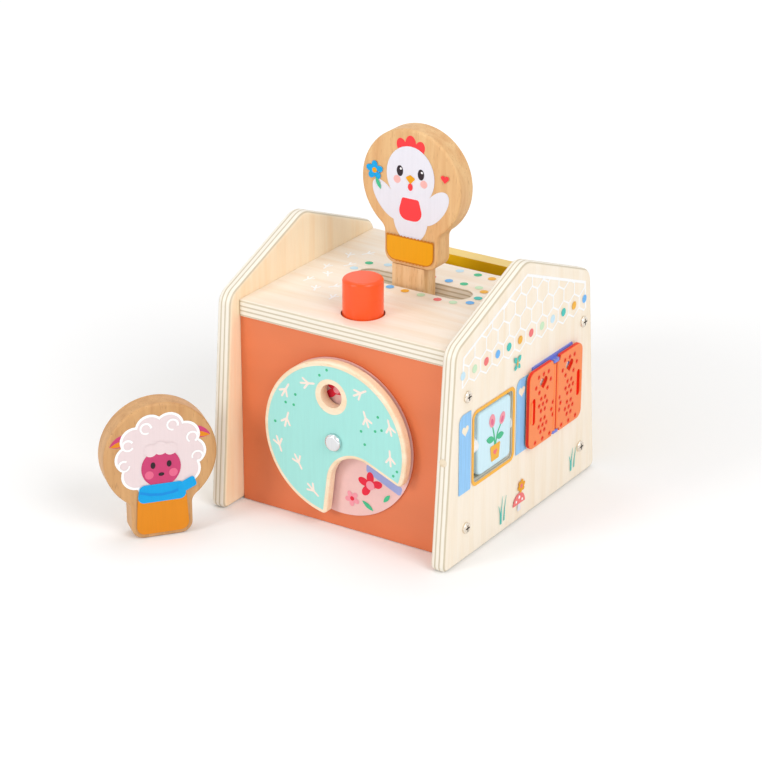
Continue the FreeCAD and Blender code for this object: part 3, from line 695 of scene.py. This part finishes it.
screw_nickel = screw_steel("nickel_screw_heads", SCREW_RECESS_FLOOR)
spring_wire = steel("drawn_spring_wire", "B4B7BA", 0.3, 0.2)

FINISHES = {
    "left_side_panel": left_birch,
    "right_side_panel": right_birch,
    "front_panel": terracotta,
    "rear_panel": ochre_paint,
    "roof_deck": deck_birch,
    "base_panel": base_birch,
    "storage_ledge": beech_flat,
    "left_panel_screws": screw_nickel,
    "right_panel_screws": screw_nickel,
    "picture_plate": plate_card,
    "disc_washer": nylon,
    "disc_axle": chrome,
    "axle_nut": zinc,
    "reveal_disc": disc_birch,
    "flip_tile": tile_wash,
    "tile_axle": zinc,
    "axle_plug": plug_birch,
    "tile_spacers": nylon,
    "door_frame": violet_moulding,
    "door_picture": picture_card,
    "door_pins": zinc,
    "front_door_leaf": orange_moulding,
    "rear_door_leaf": orange_moulding,
    "button_cap": button_lacquer,
    "button_flange": beech_flat,
    "button_stem": beech_upright,
    "button_guide": beech_flat,
    "latch_lever": beech_flat,
    "latch_weight": zinc,
    "latch_bracket": beech_flat,
    "latch_pin": zinc,
    "lifter_bar": base_birch,
    "lifter_pad": beech_upright,
    "guide_rods": zinc,
    "popup_figure": beech_figure,
    "standing_figure": beech_loose,
}
for node, material in FINISHES.items():
    nodes[node].data.materials.clear()
    nodes[node].data.materials.append(material)

# Springs under the button and on the two guide rods
coil_spring(
    "button_coil", "button_spring", [(0, BUTTON_Y)],
    low=84.2, high=105.3, radius=6.3, wire=0.6, turns=5,
)
coil_spring(
    "lift_coils", "lift_springs", [(-ROD_X, LIFTER_Y), (ROD_X, LIFTER_Y)],
    low=6.2, high=100.3, radius=4.0, wire=0.5, turns=16,
)

# Inks
white = printed_ink("ink_white", "FFFFFF", 0.3)
cream = printed_ink("ink_cream", "FDEFD6", 0.5)
mint = printed_ink("ink_mint", "A6E4DC", 0.35)
track_cream = printed_ink("ink_track_cream", "FBE9DC", 0.4)
leaf_green = printed_ink("ink_leaf_green", "46C08C", 0.5)
teal = printed_ink("ink_teal", "46C8BE", 0.5)
pale_green = printed_ink("ink_pale_green", "CDEBC6", 0.4)
pale_blue = printed_ink("ink_pale_blue", "CBEAF8", 0.4)
sky = printed_ink("ink_sky", "6DB9F8", 0.5)
shutter_blue = printed_ink("ink_shutter_blue", "96CDFA", 1.6)
coral = printed_ink("ink_coral", "F57878", 0.5)
ochre = printed_ink("ink_ochre", "F5B63A", 0.5)
window_ochre = printed_ink("ink_window_ochre", "FAB83F", 0.4)
deep_ochre = printed_ink("ink_deep_ochre", "EEA500", 0.4)
stitch_brown = printed_ink("ink_stitch_brown", "C97A12", 0.4)
red = printed_ink("ink_red", "FA3C41", 0.4)
crimson = printed_ink("ink_crimson", "E8223F", 0.4)
lavender_white = printed_ink("ink_lavender_white", "E9E8F1", 0.3)
wool_pink = printed_ink("ink_wool_pink", "ECDADB", 0.3)
magenta = printed_ink("ink_magenta", "CD4173", 0.4)
rose = printed_ink("ink_rose", "E86A8E", 0.4)
blush = printed_ink("ink_blush", "F6B9B4", 0.4)
azure = printed_ink("ink_azure", "00A6E8", 0.4)
deep_azure = printed_ink("ink_deep_azure", "0590E2", 0.4)
pumpkin = printed_ink("ink_pumpkin", "E48C14", 0.4)
dark = printed_ink("ink_dark", "2A1A22", 0.2)
periwinkle = printed_ink("ink_periwinkle", "A0A9DC", 0.4)
petal_pink = printed_ink("ink_petal_pink", "F59BA8", 0.4)
# Deeper red-orange rings of painted shade round the door leaves' pits
pit_shade_ink = moulded_plastic("orange_moulding_pit_shade", "EF4014", 0.42)

# Roof deck: coloured dots round the slot and pale bird tracks at the left, with their turns
DECK_DOTS = [
    (leaf_green, [(-37.3, 20.3), (23.1, 21.9), (22.5, 37.4)]),
    (pale_blue, [(-40, 9.4), (-26.9, 23.4), (11.1, 37.2)]),
    (coral, [(-38.9, 45.1), (3.1, 21.2), (23, -5.1)]),
    (pale_green, [(-32, 38.4), (32.9, 21.3), (32.2, -4.2), (12.1, -4.4)]),
    (ochre, [(-18, 21.9), (38.2, 17.7), (32, 36.5), (1.8, -4.2)]),
    (sky, [(13.9, 21.2), (40.1, 0.1), (-8.1, -3.6)]),
    (teal, [(40.4, 7.9)]),
]
DECK_TRACKS = [
    (-53, 24, 20), (-46, 32, -30), (-54, 3, 10), (-45, 12, -25), (-47, -6, 35), (-52, -18, -10),
    (-41, -27, 25), (-34, -19, -35), (-26, -33, 5),
]
DECK_DOT_RADIUS = 2.3
DECK_TRACK_SIZE = 7.0
deck_layers = [(white, [bird_track(u, v, DECK_TRACK_SIZE, turn) for u, v, turn in DECK_TRACKS])]
for ink, places in DECK_DOTS:
    deck_layers.append((ink, [disc(u, v, DECK_DOT_RADIUS, 24) for u, v in places]))
print_on("deck_print", "house", RIGHT, REAR, (0, 0, DECK_TOP), deck_layers)


# Side panels: honeycomb in the gable over a row of dots
COMB_PITCH = 11.5
COMB_LINE = 0.95
COMB_BORDER = 1.5
COMB_ROWS = 5
SMALLEST_CELL = 1.5  # square mm
DOT_ROW = 107.0
DOT_RADIUS = 2.35
FIRST_DOT = -63.8
DOT_INKS = [
    pale_blue, pale_green, coral, sky, teal, ochre, coral, pale_green, pale_blue, teal, ochre, sky
]
EAVE_LINE = 142.2
EAVE_SLOPE = 0.393
EDGE_LINE = 74.0
EDGE_SLOPE = 0.087


def gable_limits(inset):
    """Half planes of the gable's border, set in by so many mm."""
    roof = EAVE_LINE - inset * math.hypot(1, EAVE_SLOPE)
    wall = EDGE_LINE - inset * math.hypot(1, EDGE_SLOPE)
    return [
        (EAVE_SLOPE, 1, roof),
        (-EAVE_SLOPE, 1, roof),
        (1, EDGE_SLOPE, wall),
        (-1, EDGE_SLOPE, wall),
    ]


def honeycomb():
    """White comb: the gable's field with a hole for each cell, its lower edge in zigzags under the
    dots."""
    reach = COMB_PITCH / math.sqrt(3)
    half = COMB_PITCH / 2
    low = DOT_ROW - reach - COMB_LINE / 2
    zigzag = []
    for column in range(len(DOT_INKS)):
        u = FIRST_DOT + COMB_PITCH * column
        zigzag += [(u, low), (u + half, low + reach / 2)]
    # The zigzag's ends lie on the gable's two edges
    zigzag = [(-65.1, low + 0.7)] + zigzag[:-1] + [(65.0, low + 1.3)]
    # A field larger than the gable is cut down to it, and its foot makes way for the zigzag
    field = clipped([(-90, 90), (90, 90), (90, 200), (-90, 200)], gable_limits(0))
    top = [point for point in field if point[1] > 95]
    right = sorted([point for point in top if point[0] > 0], key=lambda point: point[1])
    left = sorted([point for point in top if point[0] < 0], key=lambda point: -point[1])
    middle = [point for point in top if abs(point[0]) < 1e-6]
    cells = []
    cell_reach = reach - COMB_LINE / math.sqrt(3)
    for row in range(COMB_ROWS):
        for column in range(-1, len(DOT_INKS) + 1):
            u = FIRST_DOT + COMB_PITCH * column + (half if row % 2 else 0)
            v = DOT_ROW + reach * 1.5 * row
            cell = []
            for corner in range(6):
                angle = math.radians(60 * corner)
                cell.append((u + cell_reach * math.sin(angle), v + cell_reach * math.cos(angle)))
            cell = clipped(cell, gable_limits(COMB_BORDER))
            if len(cell) > 2 and area(cell) > SMALLEST_CELL:
                cells.append(cell)
    return [zigzag + right + middle + left] + cells


gable_layers = [(white, honeycomb())]
for ink in (pale_blue, pale_green, coral, sky, teal, ochre):
    columns = [column for column, dot_ink in enumerate(DOT_INKS) if dot_ink is ink]
    dots = [disc(FIRST_DOT + COMB_PITCH * column, DOT_ROW, DOT_RADIUS, 28) for column in columns]
    gable_layers.append((ink, dots))

# Right panel: shutters with hearts, the window's border, grass
shutter_corners = [0.8, 0.8, 0.8, 4.5]
window_border = [panel(-54.2, 39.6, -10.6, 83.0, 4.6), panel(-52.3, 41.55, -12.8, 81.05, 3.0)]
right_layers = gable_layers + [
    (shutter_blue, [
        panel(-67.2, 40, -55.3, 85, shutter_corners),
        panel(-9.0, 40.6, 3.4, 84, shutter_corners),
    ]),
    (cream, [heart(-61.2, 75.4, 6.6), heart(-3.6, 76.4, 6.6)]),
    (window_ochre, window_border),
]
right_layers += in_two(teal, grass(-23.5, 6.0, 16.0) + grass(52.5, 7.5, 13.5))

# Toadstool with a small flower above it
right_layers += [
    (coral, [arc_points(-4.4, 10.5, 6.4, 0, 180, 18)]),
    (lavender_white, [rounded([(-6.2, 6.4), (-2.6, 6.4), (-3.0, 10.5), (-5.8, 10.5)], 0.6)]),
    (white, [disc(-7.4, 12.6, 0.8, 14), disc(-4.2, 14.4, 1.0, 14), disc(-1.2, 12.2, 0.8, 14)]),
]
right_layers += blossom(
    deep_ochre, coral, -2.2, 20.4, petals=6, reach=2.2, across=1.4, eye=1.3, turn=15.0
)

# Small butterfly above the window
right_layers += [
    (teal, [leaf((-9.4, 95.0), (-12.6, 98.6), 3.0), leaf((-9.0, 95.0), (-5.6, 98.4), 3.0)]),
    (teal, [leaf((-9.4, 94.4), (-12.0, 91.2), 2.4), leaf((-9.0, 94.4), (-6.4, 91.2), 2.4)]),
    (ochre, [oval(-9.2, 94.8, 0.6, 2.2, 0.0, 16)]),
]
right_face = (PANEL_FACE, 0, 0)
print_on("right_panel_print", "house", REAR, UP, right_face, right_layers)

# Left panel: grass at its foot
left_tufts = grass(-46.0, 6.5, 15.0) + grass(21.0, 6.0, 16.5) + grass(50.5, 7.0, 12.5)
left_layers = gable_layers + in_two(teal, left_tufts)
left_face = (-PANEL_FACE, 0, 0)
print_on("left_panel_print", "house", FRONT, UP, left_face, left_layers)

# Disc: mint field that stops short of the rim, the notch and the finger hole
MINT_RADIUS = 42.6
NOTCH_FROM = -97.2
NOTCH_TO = -22.2
NOTCH_MARGIN = 2.1
POINT_ROUND = 17.2 + NOTCH_MARGIN


def beside(angle, offset):
    """Point on the mint field's edge, on a line parallel to a radial line of the disc."""
    lean = math.radians(angle)
    along = math.sqrt(MINT_RADIUS * MINT_RADIUS - offset * offset)
    u = along * math.cos(lean) - offset * math.sin(lean)
    return (u, DISC_CENTRE + along * math.sin(lean) + offset * math.cos(lean))


def mint_field():
    """Round field with the disc's notch cut out of it."""
    first = beside(NOTCH_TO, NOTCH_MARGIN)
    last = beside(NOTCH_FROM, -NOTCH_MARGIN)
    start = math.degrees(math.atan2(first[1] - DISC_CENTRE, first[0]))
    end = math.degrees(math.atan2(last[1] - DISC_CENTRE, last[0])) + 360
    middle = math.radians((NOTCH_FROM + NOTCH_TO) / 2)
    half = math.radians((NOTCH_TO - NOTCH_FROM) / 2)
    reach = NOTCH_MARGIN / math.sin(half)
    point = (-reach * math.cos(middle), DISC_CENTRE - reach * math.sin(middle))
    notch = rounded([last, point, first], [0, POINT_ROUND, 0], 18)[1:-1]
    return arc_points(0, DISC_CENTRE, MINT_RADIUS, start, end, 84) + notch


# Tracks and dots are placed from the disc's centre
DISC_TRACKS = [
    (-30.7, 23.2, 150), (-16.1, 30.0, 100), (17.0, 32.2, 120), (20.1, 18.6, 200),
    (34.9, 17.3, 195), (35.3, -0.2, 185), (-30.2, 6.3, 165), (-35.3, -10.5, 20),
    (-22.8, -18.0, 30), (-13.3, -32.2, 50),
]
DISC_DOTS = [
    (-4.3, 40.3), (-8.9, 36.3), (-24.5, 21.5), (-30.8, 15.6), (-25.6, 15.3), (-37.8, 2.9),
    (27.7, 21.0), (30.0, 14.0), (26.0, 12.5), (17.2, 10.4), (19.5, 3.3), (39.6, -7.4),
    (37.3, -10.4),
]
DISC_TRACK_SIZE = 8.2
DISC_DOT_RADIUS = 0.8
finger_hole_margin = disc(-1.7, 79.4, 10.0)
disc_tracks = [
    bird_track(u, DISC_CENTRE + v, DISC_TRACK_SIZE, turn) for u, v, turn in DISC_TRACKS
]
disc_layers = [
    (mint, [mint_field(), finger_hole_margin]),
    (track_cream, disc_tracks),
    (leaf_green, [disc(u, DISC_CENTRE + v, DISC_DOT_RADIUS, 16) for u, v in DISC_DOTS]),
]
print_on("disc_print", "disc", RIGHT, UP, (0, DISC_FACE, 0), disc_layers)

# Picture plate: garden flowers on pink, seen through the notch and the finger hole
plate_layers = [
    (periwinkle, [rounded([(15.6, 37.6), (15.6, 43.0), (38.4, 33.6), (37.0, 28.4)], 1.6)]),
]
plate_layers += blossom(
    crimson, petal_pink, 18.0, 30.0, petals=5, reach=4.4, across=2.3, eye=2.6, turn=18.0, count=24
)
plate_layers += blossom(
    petal_pink, crimson, 6.5, 19.5, petals=5, reach=2.6, across=1.5, eye=1.3, turn=50.0
)
plate_layers += [
    (leaf_green, [leaf((13.0, 20.0), (20.0, 15.5), 2.6), leaf((26.5, 22.5), (30.5, 27.5), 2.4)]),
]
plate_layers += blossom(crimson, petal_pink, -3.0, 80.5, petals=5, reach=4.2, across=2.2, eye=2.0)
print_on("plate_print", "house", RIGHT, UP, (0, PLATE_FACE, 0), plate_layers)

# Door leaves: a ring of painted shade round each moulded pit, in a deeper red-orange. Pits are
# placed from the pin and the leaf's foot, and lie in rings of six and by themselves.
PITS = [
    (7.1, 40.2), (12.3, 40.4), (17.5, 40.2), (4.7, 34.9), (20.2, 34.9), (8.0, 31.0), (16.7, 31.0),
    (4.7, 2.8), (12.4, 2.6), (20.1, 2.8), (1.7, 12.8), (3.2, 16.5), (1.7, 20.2), (12.5, 10.8),
    (12.5, 23.1),
]
RING_REACH = 12.5
RING_RADIUS = 4.1
PIT_SHADE_RADII = (1.4, 0.85)
for rise in (10.8, 23.1):
    for step in range(6):
        angle = math.radians(60 * step)
        PITS.append((
            RING_REACH + RING_RADIUS * math.cos(angle),
            rise + RING_RADIUS * math.sin(angle),
        ))
for name, body, pin, side in (
    ("front_door_pit_shade", "front_door", FRONT_PIN, -1),
    ("rear_door_pit_shade", "rear_door", REAR_PIN, 1),
):
    pit_shade_rings = []
    for reach, rise in PITS:
        pit_shade_rings += [disc(pin + side * reach, DOOR_FOOT + rise, radius, 20) for radius in PIT_SHADE_RADII]
    print_on(name, body, REAR, UP, (DOOR_FACE, 0, 0), [(pit_shade_ink, pit_shade_rings)])

# Flip tile: potted plant on the outer face and a plain sun on the inner one
plant_leaves = [leaf((-31.2, 59.0), (-39.5, 61.5), 4.0), leaf((-29.3, 59.5), (-21.5, 59.0), 4.0)]
tile_layers = [
    (leaf_green, [bent_stroke([(-30.5, 55.5), (-31.6, 62.0), (-33.4, 67.5)], 1.5, 1.0)]),
    (leaf_green, [bent_stroke([(-30.3, 55.5), (-28.0, 62.0), (-24.6, 66.0)], 1.5, 1.0)]),
    (leaf_green, plant_leaves),
    (petal_pink, [oval(-33.8, 70.6, 3.0, 3.9, 12.0), oval(-23.4, 68.6, 2.7, 3.5, -25.0)]),
    (rose, [oval(-33.8, 69.9, 1.3, 2.0, 12.0), oval(-23.5, 68.0, 1.2, 1.8, -25.0)]),
    (ochre, [rounded([(-34.2, 47.0), (-26.6, 47.0), (-25.2, 56.0), (-35.6, 56.0)], 0.9)]),
    (coral, [heart(-30.4, 51.6, 4.0)]),
]
print_on("tile_print", "tile", REAR, UP, right_face, tile_layers)
sun_layers = blossom(
    ochre, deep_ochre, 30.5, 61.3, petals=10, reach=5.6, across=1.6, eye=5.0, count=36
)
tile_back = (panel_back, 0, 0)
print_on("tile_back_print", "tile", FRONT, UP, tile_back, sun_layers)

# Raised figure: plain white hen with a red comb and bib, a flower and a heart
bib = rounded([(-8.6, 26.5), (8.6, 26.5), (5.2, 39.0), (-5.2, 39.0)], [5.0, 5.0, 1.5, 1.5])
hen_layers = [
    (red, [oval(-5.6, 67.6, 3.1, 4.4, 18.0), oval(5.6, 67.6, 3.1, 4.4, -18.0)]),
    (red, [oval(0.0, 69.2, 3.4, 5.0)]),
    (lavender_white, [oval(-15.0, 36.0, 6.0, 12.5, 38.0)]),
    (lavender_white, [oval(15.0, 36.0, 6.0, 12.5, -38.0)]),
    (lavender_white, [oval(0.0, 29.0, 11.0, 15.0)]),
    (lavender_white, [oval(0.0, 38.5, 13.0, 8.5)]),
    (lavender_white, [oval(0.0, 51.6, 15.0, 16.6)]),
    (red, [bib]),
    (blush, [disc(-8.4, 48.6, 2.2, 24), disc(8.4, 48.6, 2.2, 24)]),
    (dark, [oval(-6.6, 53.6, 2.0, 3.0), oval(6.6, 53.6, 2.0, 3.0)]),
    (white, [disc(-6.0, 54.9, 0.65, 12), disc(7.2, 54.9, 0.65, 12)]),
    (deep_ochre, [rounded([(-3.2, 50.6), (0, 47.2), (3.2, 50.6), (0, 52.4)], 0.7)]),
    (red, [oval(0.0, 45.6, 1.5, 2.1)]),
]
hen_layers += blossom(
    azure, deep_ochre, -22.6, 51.0, petals=5, reach=3.0, across=1.9, eye=1.5, turn=18.0
)
hen_layers += [
    (leaf_green, [leaf((-21.8, 47.4), (-18.6, 41.0), 2.2)]),
    (red, [heart(21.6, 54.0, 5.0)]),
    (stitch_brown, [pinked(-15.0, 15.0, 2.5, 16.7, 1.1, 5.4)]),
    (deep_ochre, [panel(-14.4, 3.1, 14.4, 16.1, [4.8, 4.8, 1.2, 1.2])]),
]
print_on(
    "hen_print", "raised_figure",
    RIGHT, UP, RAISED_FIGURE_FOOT, hen_layers,
)


# Loose figure: plain woolly sheep with a blue scarf
WOOL_CENTRE = 47.5
CURL_RADIUS = 2.9


def tufts(across, up, radius):
    """Ring of ten tufts of wool round the sheep's head."""
    ring = []
    for step in range(10):
        angle = math.radians(36 * step)
        ring.append(disc(across * math.cos(angle), WOOL_CENTRE + up * math.sin(angle), radius, 28))
    return ring


# Place of each curl in the wool, and the angle it starts at
CURLS = [
    (-17.5, 55.5, 30), (-7.5, 64.0, 0), (7.0, 64.5, -20), (17.5, 56.0, -60), (-20.0, 44.0, 60),
    (20.0, 44.5, -100),
]
sheep_layers = [
    (magenta, [leaf((-14.0, 61.0), (-27.5, 56.0), 6.6), leaf((14.0, 61.0), (27.5, 56.0), 6.6)]),
    (pumpkin, [leaf((-15.0, 58.6), (-27.2, 55.8), 3.0), leaf((15.0, 58.6), (27.2, 55.8), 3.0)]),
]
sheep_layers += in_two(white, tufts(16.8, 17.0, 8.2))
sheep_layers += in_two(wool_pink, tufts(16.4, 16.6, 7.1))
sheep_layers.append((wool_pink, [disc(0, WOOL_CENTRE, 17.5)]))
for u, v, start in CURLS:
    curl = arc_points(u, v, CURL_RADIUS, start, start + 300, 16)
    sheep_layers.append((white, [bent_stroke(curl, 1.3, 0.9)]))
body_patch = [(-14.6, 2.6), (14.6, 2.6), (13.4, 24.0), (-13.4, 24.0)]
scarf = [(-13.8, 21.0), (13.8, 21.0), (12.0, 31.4), (-12.0, 31.4)]
scarf_fold = [(-12.2, 27.4), (-6.0, 25.6), (0.0, 25.0), (6.0, 25.6), (12.2, 27.4)]
scarf_end = [(9.4, 23.4), (19.4, 28.0), (17.4, 33.8), (8.4, 29.6)]
sheep_layers += [
    (magenta, [oval(0.0, 40.5, 10.8, 11.0)]),
    (wool_pink, [disc(-5.4, 51.0, 3.6, 20), disc(5.4, 51.0, 3.6, 20)]),
    (wool_pink, [disc(0.0, 52.0, 3.9, 20)]),
    (rose, [disc(-6.6, 37.0, 2.4, 22), disc(6.6, 37.0, 2.4, 22)]),
    (dark, [oval(-4.4, 42.4, 1.3, 1.9), oval(4.4, 42.4, 1.3, 1.9)]),
    (dark, [oval(0.0, 36.8, 1.6, 1.0)]),
    (pumpkin, [rounded(body_patch, [4.6, 4.6, 2.0, 2.0])]),
    (azure, [rounded(scarf, 3.4)]),
    (deep_azure, [bent_stroke(scarf_fold, 1.6)]),
    (azure, [rounded(scarf_end, 1.6)]),
]
lean = math.radians(LOOSE_FIGURE_TURN)
sheep_across = (math.cos(lean), math.sin(lean), 0)
print_on(
    "sheep_print", "loose_figure",
    sheep_across, UP, LOOSE_FIGURE_FOOT, sheep_layers,
)


# Floor, light and camera

WHITE_LIGHT = (1.0, 1.0, 1.0, 1.0)
HOUSE_MIDDLE = (0.0, 0.0, 0.07)
CAMERA_PLACE = (0.7523, -1.1838, 0.6737)
CAMERA_AIM = (-0.01627, 0.0, 0.059413)
FOCAL_PIXELS = 2796.19
SENSOR = 36.0
IMAGE_PIXELS = 762


def seen_share(tree):
    """1 for the rays by which the camera, metal and clear things see a surface, 0 for those that
    light the toy."""
    path = add(tree, "ShaderNodeLightPath")
    direct = add(
        tree,
        "ShaderNodeMath",
        {0: path.outputs["Is Camera Ray"], 1: path.outputs["Is Glossy Ray"]},
        operation="MAXIMUM",
    )
    return add(
        tree,
        "ShaderNodeMath",
        {0: direct.outputs[0], 1: path.outputs["Is Transmission Ray"]},
        operation="MAXIMUM",
    ).outputs[0]


def pale_floor():
    """White paper sweep that stays white where it is seen and still takes the toy's shadow. Its
    lift grows with the distance from the toy in metres, where less of the light reaches it."""
    material, tree = new_material("paper_floor")
    paper = add(tree, "ShaderNodeBsdfDiffuse", {"Color": linear("FAFAFA")})
    place = add(tree, "ShaderNodeTexCoord")
    reach = add(tree, "ShaderNodeVectorMath", {0: place.outputs["Object"]}, operation="LENGTH")
    near = {"From Min": 0.12, "From Max": 0.6, "To Min": 0.03, "To Max": 0.27}
    far = {"From Min": 0.9, "From Max": 3.5, "To Min": 0.0, "To Max": 0.73}
    lifts = [
        add(tree, "ShaderNodeMapRange", {"Value": reach.outputs["Value"], **span}).outputs[0]
        for span in (near, far)
    ]
    lift = add(tree, "ShaderNodeMath", {0: lifts[0], 1: lifts[1]}, operation="ADD").outputs[0]
    glow = add(tree, "ShaderNodeEmission", {"Color": WHITE_LIGHT, "Strength": lift})
    both = add(tree, "ShaderNodeAddShader", {0: paper.outputs[0], 1: glow.outputs[0]})
    shares = {0: seen_share(tree), 1: paper.outputs[0], 2: both.outputs[0]}
    seen = add(tree, "ShaderNodeMixShader", shares)
    add(tree, "ShaderNodeOutputMaterial", {"Surface": seen.outputs[0]})
    return material


FLOOR_REACH = 6.0
FLOOR_DROP = 0.2 * MM  # keeps the floor clear of the pieces that stand on it
floor_mesh = bpy.data.meshes.new("floor")
floor_corners = [
    (-FLOOR_REACH, -FLOOR_REACH, 0), (FLOOR_REACH, -FLOOR_REACH, 0),
    (FLOOR_REACH, FLOOR_REACH, 0), (-FLOOR_REACH, FLOOR_REACH, 0),
]
floor_mesh.from_pydata(floor_corners, [], [(0, 1, 2, 3)])
floor_mesh.materials.append(pale_floor())
floor = bpy.data.objects.new("floor", floor_mesh)
bpy.context.collection.objects.link(floor)
floor.location.z = -FLOOR_DROP

# The world lights the toy at half strength and is seen as white
world = bpy.data.worlds.new("studio")
world.use_nodes = True
bpy.context.scene.world = world
world_tree = world.node_tree
world_tree.nodes.clear()
fill = add(world_tree, "ShaderNodeBackground", {"Color": WHITE_LIGHT, "Strength": 0.5})
backdrop = add(world_tree, "ShaderNodeBackground", {"Color": WHITE_LIGHT, "Strength": 1.0})
world_shares = {0: seen_share(world_tree), 1: fill.outputs[0], 2: backdrop.outputs[0]}
world_mix = add(world_tree, "ShaderNodeMixShader", world_shares)
add(world_tree, "ShaderNodeOutputWorld", {"Surface": world_mix.outputs[0]})


def soft_box(name, place, size, power):
    """Square studio light aimed at the middle of the house. Its place and size are in metres and
    its power is in watts."""
    data = bpy.data.lights.new(name, "AREA")
    data.size = size
    data.energy = power
    lamp = bpy.data.objects.new(name, data)
    bpy.context.collection.objects.link(lamp)
    lamp.location = place
    aim = Vector(HOUSE_MIDDLE) - Vector(place)
    lamp.rotation_euler = aim.to_track_quat("-Z", "Y").to_euler()


soft_box("key_light", (1.3, -0.55, 1.15), size=0.9, power=12.0)
soft_box("front_light", (-0.6, -1.5, 0.8), size=0.5, power=8.6)
soft_box("top_light", (-0.2, 0.3, 1.7), size=1.1, power=6.3)

scene = bpy.context.scene
scene.view_settings.view_transform = "Standard"
camera_data = bpy.data.cameras.new("camera")
camera_data.sensor_width = SENSOR
camera_data.lens = FOCAL_PIXELS * SENSOR / IMAGE_PIXELS
camera = bpy.data.objects.new("camera", camera_data)
bpy.context.collection.objects.link(camera)
camera.location = CAMERA_PLACE
camera_aim = Vector(CAMERA_AIM) - camera.location
camera.rotation_euler = camera_aim.to_track_quat("-Z", "Y").to_euler()
scene.camera = camera
